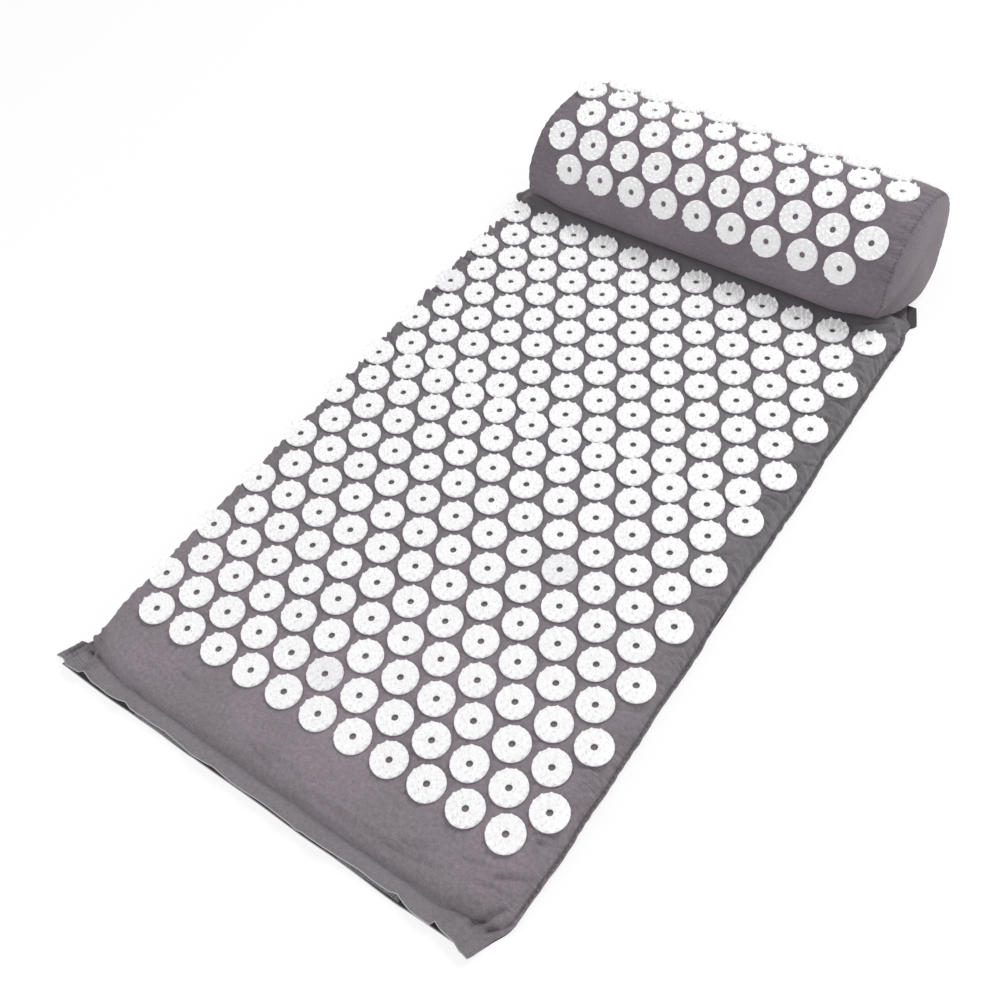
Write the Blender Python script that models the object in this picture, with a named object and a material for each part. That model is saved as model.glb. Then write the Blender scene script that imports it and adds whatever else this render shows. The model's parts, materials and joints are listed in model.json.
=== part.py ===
"""Acupressure mat with a half-round neck pillow leaning on its far end.

Metres, with X across the mat, Y along it towards the pillow and Z up.
The origin is the middle of the mat's underside.
"""
import math

import bmesh
import bpy
from mathutils import Vector

# Shared by every piece
GAP = 0.0003
CLOTH = 0.001
SMOOTH_ANGLE = math.radians(35)

# Foam slab inside the mat
FOAM_LENGTH = 0.620
FOAM_WIDTH = 0.406
FOAM_HEIGHT = 0.0179
FOAM_ROUND = 0.004
FOAM_UNDERCUT = 0.0045

# Mat cover: side seam, sloping ends, flat hems beyond the foam
SIDE_SEAM_RISE = 0.005
SIDE_SEAM_ALLOWANCE = 0.003
UNDERSIDE_LIFT = 0.004
COVER_CORNER = 0.010
SIDE_SETTLE = 0.018
NEAR_SLOPE = 0.0187
FAR_SLOPE = 0.016
FAR_HEM = 0.018
HEM_EDGE = 0.001
SAG_REACH_SHARE = 0.40
SAG_DROP_SHARE = 0.55

# Envelope opening at the near end: two lips with hook and loop patches
LIP_DEPTH = 0.015
LIP_SKEW = 0.015
PATCH_LENGTH = 0.055
PATCH_WIDTH = 0.012
PATCH_THICKNESS = 0.0012
PATCH_SPREAD = 0.103

# Spiked discs: the margins are the least from the cover's edge to a disc's middle
DISC_RADIUS = 0.0143
DISC_BASE = 0.0015
STRIP_HEIGHT = 0.0004
RIM_SPIKES = 6
SPIKE_WIDTH = 0.0050
SPIKE_DEPTH = 0.0038
SPIKE_HEIGHT = 0.0035
COLUMN_PITCH = 0.034
ROW_PITCH = 0.028
NEAR_MARGIN = 0.0417
FAR_MARGIN = 0.045
SIDE_MARGIN = 0.016

# Where the welding of the mat's discs ran out of line: rows pulled towards
# the near end, in row pitches, and rows pushed to the left, in column pitches
ROW_PULL_SHARES = {11: 0.045, 12: 0.12}
ROW_PUSH_SHARES = {7: 0.035, 8: 0.07, 9: 0.105, 10: 0.09, 11: 0.05}

# Pillow, and how it lies on the mat
PILLOW_LENGTH = 0.370
PILLOW_RADIUS = 0.0678
PILLOW_HEIGHT = 0.1005
BASE_ROUND = 0.014
END_BULGE = 0.009
PILLOW_BACK_SET = 0.0402
PILLOW_SIDE_SHIFT = -0.0010
PILLOW_YAW = math.radians(-1.8)
PILLOW_PITCH = 0.0355
PILLOW_ROWS = 7
PILLOW_DISC_MARGIN = 0.024
PILLOW_ROW_ANGLE = math.radians(24)
PILLOW_FIELD_LEAD = math.radians(6.9)
PILLOW_FIELD_SHIFT = 0.0034
ARCH_STEPS = 18
ROUND_STEPS = 3
CORNER_STEPS = 3
EDGE_STEPS = 2
SEAT_TURNS = 40
STEEPEST_LEAN = math.radians(40)

# The arch narrows towards its ends: length share from the middle, size share
DRAWN_IN_SHARES = ((0.0, 1.0), (0.45, 0.999), (0.75, 0.993), (0.90, 0.980), (1.0, 0.958))
# The end panel swells: size share of each ring, bulge share
BULGE_SHARES = ((1.0, 0.0), (0.94, 0.45), (0.80, 0.76), (0.50, 0.95), (0.20, 1.0))

# Worked out from the sizes above
COVER_ROUND = FOAM_ROUND + GAP + CLOTH
COVER_HALF_WIDTH = FOAM_WIDTH / 2 + GAP + CLOTH
COVER_HALF_LENGTH = FOAM_LENGTH / 2 + GAP + CLOTH
FOAM_BOTTOM = CLOTH + GAP
FOAM_TOP = FOAM_BOTTOM + FOAM_HEIGHT
MAT_TOP = FOAM_TOP + GAP + CLOTH
HINGE_Y = -(COVER_HALF_LENGTH + NEAR_SLOPE)
HOOK_BOTTOM = CLOTH + GAP
LOOP_BOTTOM = HOOK_BOTTOM + PATCH_THICKNESS + GAP
LIP_BOTTOM = LOOP_BOTTOM + PATCH_THICKNESS + GAP
LIP_TOP = LIP_BOTTOM + CLOTH
FAR_HEM_TOP = CLOTH + GAP + CLOTH
LIP_EDGE_Y = HINGE_Y - LIP_DEPTH
FAR_EDGE_Y = COVER_HALF_LENGTH + FAR_SLOPE + FAR_HEM
BASE_DROP = PILLOW_HEIGHT - PILLOW_RADIUS
ROW_COUNT = 1 + int((2 * COVER_HALF_LENGTH - NEAR_MARGIN - FAR_MARGIN) / ROW_PITCH)
LONG_ROW = 1 + int((2 * COVER_HALF_WIDTH - 2 * SIDE_MARGIN) / COLUMN_PITCH)
PILLOW_LONG_ROW = 1 + int((PILLOW_LENGTH - 2 * PILLOW_DISC_MARGIN) / PILLOW_PITCH)


def clear_scene():
    for item in list(bpy.data.objects):
        bpy.data.objects.remove(item, do_unlink=True)


def make_material(name, color, roughness, metallic=0.0):
    material = bpy.data.materials.new(name)
    material.use_nodes = True
    shader = material.node_tree.nodes["Principled BSDF"]
    shader.inputs["Base Color"].default_value = (*color, 1.0)
    shader.inputs["Roughness"].default_value = roughness
    shader.inputs["Metallic"].default_value = metallic
    material.diffuse_color = (*color, 1.0)
    return material


def make_empty(name, location, rotation=(0.0, 0.0, 0.0)):
    empty = bpy.data.objects.new(name, None)
    empty.location = location
    empty.rotation_euler = rotation
    bpy.context.scene.collection.objects.link(empty)
    return empty


def make_solid(name, points, faces, material, parent=None, location=(0.0, 0.0, 0.0), turn=0.0):
    """One closed body, faces outward, turned about X, in its parent's axes."""
    mesh = bpy.data.meshes.new(name)
    mesh.from_pydata([tuple(point) for point in points], [], faces)
    mesh.materials.append(material)
    work = bmesh.new()
    work.from_mesh(mesh)
    bmesh.ops.recalc_face_normals(work, faces=work.faces)
    work.to_mesh(mesh)
    work.free()
    mesh.shade_smooth()
    mesh.set_sharp_from_angle(angle=SMOOTH_ANGLE)
    solid = bpy.data.objects.new(name, mesh)
    solid.location = location
    solid.rotation_euler = (turn, 0.0, 0.0)
    solid.parent = parent
    bpy.context.scene.collection.objects.link(solid)
    return solid


def chain_rings(rings):
    """Rings of equal count joined in order and capped at both ends."""
    count = len(rings[0])
    points = [point for ring in rings for point in ring]
    faces = [tuple(range(count))[::-1]]
    for level in range(len(rings) - 1):
        start = level * count
        for step in range(count):
            after = (step + 1) % count
            faces.append((start + step, start + after, start + count + after, start + count + step))
    last = (len(rings) - 1) * count
    faces.append(tuple(range(last, last + count)))
    return points, faces


def prism(outline, bottom, top):
    """An upright solid on a flat outline."""
    lower = [Vector((x, y, bottom)) for x, y in outline]
    upper = [Vector((x, y, top)) for x, y in outline]
    return chain_rings([lower, upper])


def mix(start, end, share):
    return start + (end - start) * share


def cover_ring(side, near, far, side_z, near_z, far_z, skew=0.0, early=False):
    """A closed outline round the mat, anticlockwise from its right far corner.

    Its long sides keep their height as far as the settling points and reach
    the heights of the ends at the corners, or early, level with the foam's
    ends. The near corners move left by the skew.
    """
    settled = COVER_HALF_LENGTH - SIDE_SETTLE
    along = [(-settled, side_z), (settled, side_z)]
    if early:
        along = [(-COVER_HALF_LENGTH, near_z), *along, (COVER_HALF_LENGTH, far_z)]
    ring = corner_arc(side, far, far_z, 0)
    ring += corner_arc(-side, far, far_z, 1)
    ring += [Vector((-side, y, z)) for y, z in reversed(along)]
    ring += corner_arc(-side - skew, -near, near_z, 2)
    ring += corner_arc(side - skew, -near, near_z, 3)
    ring += [Vector((side, y, z)) for y, z in along]
    return ring


def corner_arc(x, y, z, quarter):
    """The rounded corner of an outline that would come to a point at x and y."""
    inward = (quarter + 1 / 2) * math.pi / 2
    centre_x = x - math.copysign(COVER_CORNER, math.cos(inward))
    centre_y = y - math.copysign(COVER_CORNER, math.sin(inward))
    arc = []
    for step in range(CORNER_STEPS + 1):
        angle = (quarter + step / CORNER_STEPS) * math.pi / 2
        arc.append(Vector((
            centre_x + COVER_CORNER * math.cos(angle),
            centre_y + COVER_CORNER * math.sin(angle),
            z,
        )))
    return arc


def rounded_edge(radius, steps):
    """Places on a quarter round from its flat top outward, as reach and drop."""
    places = []
    for step in range(steps + 1):
        angle = step / steps * math.pi / 2
        places.append((radius * math.sin(angle), radius * (1 - math.cos(angle))))
    return places


def make_foam(material):
    """The slab: rounded top edges, sloped lower edges."""
    half_width = FOAM_WIDTH / 2
    half_length = FOAM_LENGTH / 2
    rings = []
    low_side = half_width - FOAM_UNDERCUT
    low_end = half_length - FOAM_UNDERCUT
    rings.append(cover_ring(low_side, low_end, low_end, FOAM_BOTTOM, FOAM_BOTTOM, FOAM_BOTTOM))
    knee = FOAM_BOTTOM + FOAM_UNDERCUT
    rings.append(cover_ring(half_width, half_length, half_length, knee, knee, knee))
    for reach, drop in reversed(rounded_edge(FOAM_ROUND, EDGE_STEPS)):
        side = half_width - FOAM_ROUND + reach
        end = half_length - FOAM_ROUND + reach
        height = FOAM_TOP - drop
        rings.append(cover_ring(side, end, end, height, height, height))
    points, faces = chain_rings(rings)
    make_solid("mat_foam", points, faces, material)


def end_profile():
    """The cover's top face over the foam's end, as reach past the flat and height."""
    return [(reach, MAT_TOP - drop) for reach, drop in rounded_edge(COVER_ROUND, EDGE_STEPS)]


def top_cover_skin(inset):
    """The rings of one face of the top cover, from its flat out to the seam."""
    rings = []
    flat_side = COVER_HALF_WIDTH - COVER_ROUND
    flat_end = COVER_HALF_LENGTH - COVER_ROUND
    for reach, drop in rounded_edge(COVER_ROUND - inset, EDGE_STEPS):
        height = MAT_TOP - inset - drop
        rings.append(cover_ring(
            flat_side + reach, flat_end + reach, flat_end + reach, height, height, height))
    shoulder = MAT_TOP - COVER_ROUND
    side = COVER_HALF_WIDTH - inset
    near = COVER_HALF_LENGTH - inset
    far = near
    rings.append(cover_ring(
        side,
        near + NEAR_SLOPE * SAG_REACH_SHARE,
        far + FAR_SLOPE * SAG_REACH_SHARE,
        mix(shoulder, SIDE_SEAM_RISE, SAG_DROP_SHARE),
        mix(shoulder, LIP_TOP, SAG_DROP_SHARE),
        mix(shoulder, FAR_HEM_TOP, SAG_DROP_SHARE)))
    rings.append(cover_ring(
        side,
        near + NEAR_SLOPE - HEM_EDGE,
        far + FAR_SLOPE,
        SIDE_SEAM_RISE - inset,
        LIP_TOP - inset,
        FAR_HEM_TOP - inset))
    return rings


def seam_ring(drop):
    """The outer edge of the top cover's seam allowance."""
    return cover_ring(
        COVER_HALF_WIDTH + SIDE_SEAM_ALLOWANCE,
        COVER_HALF_LENGTH + NEAR_SLOPE - GAP,
        FAR_EDGE_Y,
        SIDE_SEAM_RISE - drop,
        LIP_TOP - drop,
        FAR_HEM_TOP - drop)


def make_top_cover(material):
    outside = top_cover_skin(0.0)
    inside = top_cover_skin(CLOTH)
    rings = outside + [seam_ring(0.0), seam_ring(CLOTH)] + inside[::-1]
    points, faces = chain_rings(rings)
    make_solid("mat_top_cover", points, faces, material)


def bottom_cover_skin(raise_by):
    """One face of the bottom cover: flat, lifting to the side seams, with the lower lip."""
    seam = SIDE_SEAM_RISE - CLOTH - GAP - CLOTH + raise_by
    near = -LIP_EDGE_Y - GAP
    levels = (
        (COVER_HALF_WIDTH - UNDERSIDE_LIFT, HEM_EDGE, raise_by),
        (COVER_HALF_WIDTH, HEM_EDGE / 2, seam),
        (COVER_HALF_WIDTH + SIDE_SEAM_ALLOWANCE, 0.0, seam),
    )
    return [
        cover_ring(side, near - back, FAR_EDGE_Y - back, side_z, raise_by, raise_by, LIP_SKEW, early=True)
        for side, back, side_z in levels
    ]


def make_bottom_cover(material):
    rings = bottom_cover_skin(0.0) + bottom_cover_skin(CLOTH)[::-1]
    points, faces = chain_rings(rings)
    make_solid("mat_bottom_cover", points, faces, material)


def make_patch(name, side, bottom, edge_y, material, parent=None, origin=(0.0, 0.0, 0.0)):
    """A short strip of closure tape sewn along a lip."""
    left = side * PATCH_SPREAD - PATCH_LENGTH / 2 - origin[0]
    right = left + PATCH_LENGTH
    front = edge_y - origin[1]
    back = front + PATCH_WIDTH
    outline = ((left, front), (right, front), (right, back), (left, back))
    low = bottom - origin[2]
    points, faces = prism(outline, low, low + PATCH_THICKNESS)
    make_solid(name, points, faces, material, parent)


def make_opening(cloth, tape):
    """The near lips: hooks on the lower one, loops under the upper one, which lifts."""
    for name, side in (("hook_patch_left", -1), ("hook_patch_right", 1)):
        make_patch(name, side, HOOK_BOTTOM, LIP_EDGE_Y + HEM_EDGE, tape)
    axis = (0.0, HINGE_Y, LIP_TOP)
    hinge = make_empty("upper_lip_hinge", axis)
    half = COVER_HALF_WIDTH + SIDE_SEAM_ALLOWANCE
    outline = (
        (-half - LIP_SKEW, LIP_EDGE_Y - HINGE_Y),
        (half - LIP_SKEW, LIP_EDGE_Y - HINGE_Y),
        (half - COVER_CORNER, -GAP),
        (-half, -GAP),
    )
    points, faces = prism(outline, -CLOTH, 0.0)
    make_solid("hem_upper_lip", points, faces, cloth, hinge)
    for name, side in (("loop_patch_left", -1), ("loop_patch_right", 1)):
        make_patch(name, side, LOOP_BOTTOM, LIP_EDGE_Y + HEM_EDGE, tape, hinge, axis)


def rim_point(middle, angle, height):
    return Vector((middle + DISC_RADIUS * math.cos(angle), DISC_RADIUS * math.sin(angle), height))


def lay_disc(points, faces, middle, linked_sides):
    """One disc: a plate with its main rim spikes, three sided, every second one of the real disc's.

    The spikes on the row's line stand over the ends of the strips. The other
    spikes' feet share one corner of the underside each. It returns the
    corners, low and high, where a strip meets each linked side.
    """
    spread = math.asin(SPIKE_WIDTH / 2 / DISC_RADIUS)
    ends = {}
    lower = []
    upper = []
    flat = []
    for spike in range(RIM_SPIKES):
        angle = spike * 2 * math.pi / RIM_SPIKES
        before, after = angle - spread, angle + spread
        on_line = spike in (0, RIM_SPIKES // 2)
        first = len(points)
        points += [rim_point(middle, turn, DISC_BASE) for turn in (before, after)]
        inner = rim_point(middle, angle, DISC_BASE)
        inner -= Vector((math.cos(angle), math.sin(angle), 0.0)) * SPIKE_DEPTH
        points.append(inner)
        tip = (points[first] + points[first + 1] + inner) / 3
        points.append(tip + Vector((0.0, 0.0, SPIKE_HEIGHT)))
        corners = (first, first + 1, first + 2)
        for start, end in zip(corners, corners[1:] + corners[:1]):
            faces.append((start, end, first + 3))
        flat += [corners[0], corners[2], corners[1]]
        foot = len(points)
        points += [rim_point(middle, turn, 0.0) for turn in ((before, after) if on_line else (angle,))]
        bottom = list(range(foot, len(points)))
        if spike in linked_sides:
            high = len(points)
            points += [rim_point(middle, turn, STRIP_HEIGHT) for turn in (before, after)]
            ends[spike] = (bottom, [high, high + 1])
            faces.append((high, high + 1, corners[1], corners[0]))
            upper.append(([high, corners[0]], [high + 1, corners[1]]))
        else:
            faces.append((*bottom, corners[1], corners[0]))
            upper.append(([corners[0]], [corners[1]]))
        lower.append(bottom)
    for spike in range(RIM_SPIKES):
        after = (spike + 1) % RIM_SPIKES
        faces.append((lower[spike][-1], lower[after][0], *upper[after][0], *reversed(upper[spike][1])))
    faces.append(tuple(flat))
    faces.append(tuple(corner for bottom in lower for corner in bottom)[::-1])
    return ends


def disc_strip(count, pitch):
    """A row of discs along X, joined by thin strips of the backing they are welded to."""
    points = []
    faces = []
    right, left = 0, RIM_SPIKES // 2
    previous = None
    for index in range(count):
        middle = (index - (count - 1) / 2) * pitch
        linked_sides = ([right] if index < count - 1 else []) + ([left] if index > 0 else [])
        ends = lay_disc(points, faces, middle, linked_sides)
        if previous:
            (low_a, high_a), (low_b, high_b) = previous, ends[left]
            faces.append((low_a[0], low_b[1], low_b[0], low_a[1]))
            faces.append((high_a[0], high_a[1], high_b[0], high_b[1]))
            faces.append((low_a[0], high_a[0], high_b[1], low_b[1]))
            faces.append((low_a[1], low_b[0], high_b[0], high_a[1]))
        previous = ends.get(right)
    return points, faces


def row_places():
    """Middle and count of each disc row on the mat, from the near end."""
    places = []
    y = NEAR_MARGIN - COVER_HALF_LENGTH
    for row in range(ROW_COUNT):
        y -= ROW_PITCH * ROW_PULL_SHARES.get(row, 0.0)
        x = -COLUMN_PITCH * ROW_PUSH_SHARES.get(row, 0.0)
        count = LONG_ROW if row % 2 else LONG_ROW - 1
        places.append((x, y, count))
        y += ROW_PITCH
    return places


def make_mat_discs(material):
    for row, (x, y, count) in enumerate(row_places()):
        points, faces = disc_strip(count, COLUMN_PITCH)
        make_solid(f"mat_disc_row_{row + 1:02d}", points, faces, material, location=(x, y, MAT_TOP + GAP))


def arch_outline(inset):
    """The pillow's cross-section as depth and height from the arch's centre.

    It runs from the front end of the flat base over the crown to the rear
    end of the base, with the two lower corners rounded.
    """
    radius = PILLOW_RADIUS - inset
    corner = BASE_ROUND - inset
    drop = BASE_DROP - BASE_ROUND
    reach = math.sqrt((PILLOW_RADIUS - BASE_ROUND) ** 2 - drop ** 2)
    dip = math.atan2(drop, reach)
    points = []
    for step in range(ROUND_STEPS):
        angle = mix(-math.pi / 2, dip - math.pi, step / ROUND_STEPS)
        points.append((-reach + corner * math.cos(angle), -drop + corner * math.sin(angle)))
    for step in range(ARCH_STEPS + 1):
        angle = mix(math.pi + dip, -dip, step / ARCH_STEPS)
        points.append((radius * math.cos(angle), radius * math.sin(angle)))
    for step in range(1, ROUND_STEPS + 1):
        angle = mix(-dip, -math.pi / 2, step / ROUND_STEPS)
        points.append((reach + corner * math.cos(angle), -drop + corner * math.sin(angle)))
    return points


def arch_stations():
    """Places along the pillow with the size share of its section there."""
    half = [(share * PILLOW_LENGTH / 2, size) for share, size in DRAWN_IN_SHARES]
    return [(-x, size) for x, size in reversed(half[1:])] + half


def section(x, size, inset):
    """The cross-section at one place, drawn in towards the middle of its base."""
    return [
        Vector((x, depth * size, -BASE_DROP + inset + (height + BASE_DROP - inset) * size))
        for depth, height in arch_outline(inset)
    ]


def make_pillow_cover(material, parent):
    """The panel from the front edge of the base over the crown to the rear edge."""
    stations = arch_stations()
    outside = [section(x, size, 0.0) for x, size in stations]
    inside = [section(x, size, CLOTH) for x, size in stations]
    loops = [outer + inner[::-1] for outer, inner in zip(outside, inside)]
    count = len(outside[0])
    total = len(loops[0])
    points = [point for loop in loops for point in loop]
    faces = []
    for level in range(len(loops) - 1):
        start = level * total
        for step in range(total):
            after = (step + 1) % total
            faces.append((start + step, start + after, start + total + after, start + total + step))
    for start in (0, (len(loops) - 1) * total):
        for step in range(count - 1):
            outer = (start + step, start + step + 1)
            inner = (start + total - 2 - step, start + total - 1 - step)
            faces.append((*outer, *inner))
    make_solid("pillow_cover", points, faces, material, parent)


def make_pillow_base(material, parent):
    """The flat panel underneath, between the two lower seams."""
    stations = arch_stations()
    front = [(x, section(x, size, 0.0)[0].y + GAP) for x, size in stations]
    rear = [(x, section(x, size, 0.0)[-1].y - GAP) for x, size in reversed(stations)]
    points, faces = prism(front + rear, -BASE_DROP, CLOTH - BASE_DROP)
    make_solid("pillow_base", points, faces, material, parent)


def bulge_rings(inset, side, start):
    """Rings of one swollen end, from the seam to the middle."""
    middle = (PILLOW_RADIUS - BASE_DROP) / 2
    end_size = DRAWN_IN_SHARES[-1][1]
    rim = section(0.0, end_size, inset)
    rings = []
    for size, bulge in BULGE_SHARES:
        x = side * (start + END_BULGE * bulge)
        rings.append([
            Vector((x, point.y * size, middle + (point.z - middle) * size)) for point in rim
        ])
    return rings


def make_pillow_ends(material, parent):
    seam = PILLOW_LENGTH / 2 + GAP
    for name, side in (("pillow_end_left", -1), ("pillow_end_right", 1)):
        outside = bulge_rings(0.0, side, seam + CLOTH)
        inside = bulge_rings(CLOTH, side, seam)
        points, faces = chain_rings(outside[::-1] + inside)
        make_solid(name, points, faces, material, parent)


def make_pillow_core(material, parent):
    inset = CLOTH + GAP
    seam = PILLOW_LENGTH / 2
    left = bulge_rings(inset, -1, seam)[1:]
    right = bulge_rings(inset, 1, seam)[1:]
    body = [section(x, size, inset) for x, size in arch_stations()]
    points, faces = chain_rings(left[::-1] + body + right)
    make_solid("pillow_core", points, faces, material, parent)


def pillow_height_at(lean):
    """Height of the arch's centre when the leaning base just clears the mat's end."""
    flat_end = COVER_HALF_LENGTH - COVER_ROUND
    centre_y = COVER_HALF_LENGTH + PILLOW_BACK_SET
    heights = []
    for reach, top in end_profile():
        ahead = (flat_end + reach - centre_y) * math.sin(lean)
        heights.append(top + (BASE_DROP + GAP + ahead) / math.cos(lean))
    return max(heights)


def rear_corner_clearance(lean):
    """Least free height under the rounded rear corner of the base.

    The pillow is turned a little in the plane of its base, so that one end
    lies further back, and lower, than the other.
    """
    drop = BASE_DROP - BASE_ROUND
    reach = math.sqrt((PILLOW_RADIUS - BASE_ROUND) ** 2 - drop ** 2)
    heights = []
    for x, size in arch_stations():
        back = reach * size * math.cos(PILLOW_YAW) + abs(x * math.sin(PILLOW_YAW))
        down = BASE_DROP - BASE_ROUND * size
        corner = pillow_height_at(lean) - back * math.sin(lean) - down * math.cos(lean)
        heights.append(corner - BASE_ROUND * size)
    return min(heights)


def pillow_lean():
    """The lean at which the rear corner comes down to the floor."""
    low = 0.0
    high = STEEPEST_LEAN
    for _ in range(SEAT_TURNS):
        middle = (low + high) / 2
        if rear_corner_clearance(middle) > GAP:
            low = middle
        else:
            high = middle
    return low


def make_pillow_discs(material, parent):
    """Rows along the pillow, stepping round the arch from front to rear."""
    radius = PILLOW_RADIUS + GAP
    front = math.pi / 2 + PILLOW_FIELD_LEAD + PILLOW_ROW_ANGLE * (PILLOW_ROWS - 1) / 2
    for row in range(PILLOW_ROWS):
        angle = front - row * PILLOW_ROW_ANGLE
        count = PILLOW_LONG_ROW if row % 2 else PILLOW_LONG_ROW - 1
        place = (PILLOW_FIELD_SHIFT, radius * math.cos(angle), radius * math.sin(angle))
        points, faces = disc_strip(count, PILLOW_PITCH)
        name = f"pillow_disc_row_{row + 1}"
        make_solid(name, points, faces, material, parent, place, angle - math.pi / 2)


def make_mat(cloth, foam, tape, disc):
    make_foam(foam)
    make_top_cover(cloth)
    make_bottom_cover(cloth)
    make_opening(cloth, tape)
    make_mat_discs(disc)


def make_pillow(cloth, foam, disc):
    lean = pillow_lean()
    centre = (PILLOW_SIDE_SHIFT, COVER_HALF_LENGTH + PILLOW_BACK_SET, pillow_height_at(lean))
    pose = make_empty("pillow_pose", centre, (-lean, 0.0, PILLOW_YAW))
    pose.rotation_mode = "ZYX"
    make_pillow_core(foam, pose)
    make_pillow_cover(cloth, pose)
    make_pillow_base(cloth, pose)
    make_pillow_ends(cloth, pose)
    make_pillow_discs(disc, pose)


def main():
    clear_scene()
    cloth = make_material("grey_cotton", (0.185, 0.172, 0.182), 0.92)
    foam = make_material("pale_foam", (0.72, 0.70, 0.62), 0.95)
    tape = make_material("closure_tape", (0.16, 0.15, 0.16), 0.85)
    disc = make_material("white_plastic", (0.86, 0.85, 0.88), 0.42)
    make_mat(cloth, foam, tape, disc)
    make_pillow(cloth, foam, disc)
    bpy.context.view_layer.update()


main()
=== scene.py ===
"""Acupressure mat and its neck pillow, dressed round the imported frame.

Metres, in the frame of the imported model: X across the mat, Y towards the
pillow, Z up, with the origin in the middle of the mat's underside.
"""
import json
import math

import bmesh
import bpy
import numpy as np
from mathutils import Matrix, Vector


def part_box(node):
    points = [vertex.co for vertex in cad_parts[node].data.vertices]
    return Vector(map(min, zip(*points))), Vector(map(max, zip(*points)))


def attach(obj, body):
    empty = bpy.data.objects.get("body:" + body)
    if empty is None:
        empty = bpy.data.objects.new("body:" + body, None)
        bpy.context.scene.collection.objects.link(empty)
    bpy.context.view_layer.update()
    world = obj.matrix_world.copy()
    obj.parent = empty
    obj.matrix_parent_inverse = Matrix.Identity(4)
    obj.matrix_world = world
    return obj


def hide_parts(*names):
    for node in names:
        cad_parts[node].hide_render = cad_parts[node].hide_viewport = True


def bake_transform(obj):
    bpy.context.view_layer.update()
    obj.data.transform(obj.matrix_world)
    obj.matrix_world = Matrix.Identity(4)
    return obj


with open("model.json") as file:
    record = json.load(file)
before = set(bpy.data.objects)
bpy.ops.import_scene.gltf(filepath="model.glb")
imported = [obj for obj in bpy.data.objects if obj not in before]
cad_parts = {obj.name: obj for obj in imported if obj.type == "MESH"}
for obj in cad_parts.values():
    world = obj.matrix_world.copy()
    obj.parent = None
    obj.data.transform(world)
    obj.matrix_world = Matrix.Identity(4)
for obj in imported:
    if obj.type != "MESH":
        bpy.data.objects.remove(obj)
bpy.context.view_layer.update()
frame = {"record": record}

MM = 0.001

# Camera, as the photograph was taken
CAMERA_PLACE = (0.3986, -0.4614, 0.7768)
CAMERA_RIGHT = (0.8131, 0.5723, -0.1062)
CAMERA_UP = (-0.4082, 0.6907, 0.5969)
CAMERA_LENS = 41.52
CAMERA_SENSOR = 36.0

# Light, as strength or watts, and the share of plain white in the floor as the camera sees it
WORLD_STRENGTH = 0.545
KEY_POWER = 32.0
FILL_POWER = 19.0
RIGHT_FILL_POWER = 5.5
FLOOR_GLOW = 0.80

# Colours, each cotton as its lightest and darkest dye
MAT_COTTON = ((0.250, 0.212, 0.240), (0.190, 0.169, 0.184))
# The underside's cotton is a painted shade: near black, for the shadow under the upper lip, along the
# right side and at the far right corner under the pillow
UNDER_COTTON_PAINTED_SHADE = ((0.060, 0.057, 0.061), (0.045, 0.043, 0.046))
PILLOW_COTTON = ((0.205, 0.171, 0.198), (0.163, 0.139, 0.159))
LIP_TONE = (0.204, 0.190, 0.206)
# The discs' field tone is a painted shade: darker and greyer than the band, for the shade between the
# discs and under the pillow
FIELD_PAINTED_SHADE = (0.163, 0.153, 0.164)
# A painted highlight along the hems' edges, where the fold catches the light
HEM_PAINTED_HIGHLIGHT = (0.48, 0.47, 0.49)
DISC_GREY = (0.74, 0.73, 0.76)
DISC_WHITE = (0.98, 0.966, 0.985)
THREAD_DARK = (0.055, 0.052, 0.056)
FLOOR_WHITE = (0.92, 0.92, 0.92)
# Two tones of the cells, each with how far from a cell's middle it lies. They are painted light: the
# lighter tone is a painted highlight where a cell stands up, and the darker tone is a painted shade where
# it dips
TAPE_LIT_AND_SHADED_TONES = ((0.15, (0.33, 0.32, 0.33)), (0.75, (0.12, 0.115, 0.12)))
FOAM_LIT_AND_SHADED_TONES = ((0.0, (0.50, 0.47, 0.36)), (0.45, (0.78, 0.75, 0.64)))

# Where the mat's cotton goes over to the lip's tone and to the painted shade of the discs' field, and
# between which reaches seams gather a cotton
LIP_TONE_ENDS = (-0.3325, -0.3275)
FIELD_SHADE_ENDS = (-0.29, 0.06)
FIELD_SHADE_SHARE = 0.97
MAT_GATHERS = (0.170, 0.206)
PILLOW_GATHERS = (0.171, 0.184)
WEAVE_PITCH = 0.00055

# Mat cover, in the order of the cloth from its middle outwards
MAT_TOP = 0.0205
FLAT_LEFT = 0.1950
FLAT_RIGHT = 0.1900
ROUND_LEFT = 0.0065
ROUND_RIGHT = 0.0145
WALL_FOOT = 0.0150
FLANGE = 0.0034
HALF_REACH = 0.2202
UNDER_HALF = 0.2065
UNDER_LIFT = 0.0026
SEAM_GROOVE = 0.0016
EDGE_LIFT = 0.0046
LIFT_REACH = 0.2
LIFT_FAR_ENDS = (0.262, 0.284)
LIFT_NEAR_ENDS = (0.272, 0.306)
CLOTH = 0.0008

# Its ends beyond the foam
FLAT_END = 0.306
NEAR_EDGE = 0.3445
LOWER_EDGE = 0.3452
FAR_EDGE = 0.3452
NEAR_RUN = 0.0240
NEAR_RUN_CORNER = 0.0165
NEAR_FALL = 0.0145
VALLEY_DIP = 0.0024
VALLEY_WIDTH = 0.0026
FAR_RUN = 0.021
FAR_FALL = 0.0171
# Between which places along it the cloth goes over from its sides' outline to its ends'
NEAR_TURN = (0.309, 0.330)
FAR_TURN = (0.290, 0.312)
FAR_LEFT_TURN = (0.286, 0.297)
UNDER_NEAR_TURN = (0.306, 0.330)
UNDER_FAR_TURN = (0.298, 0.312)

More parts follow.
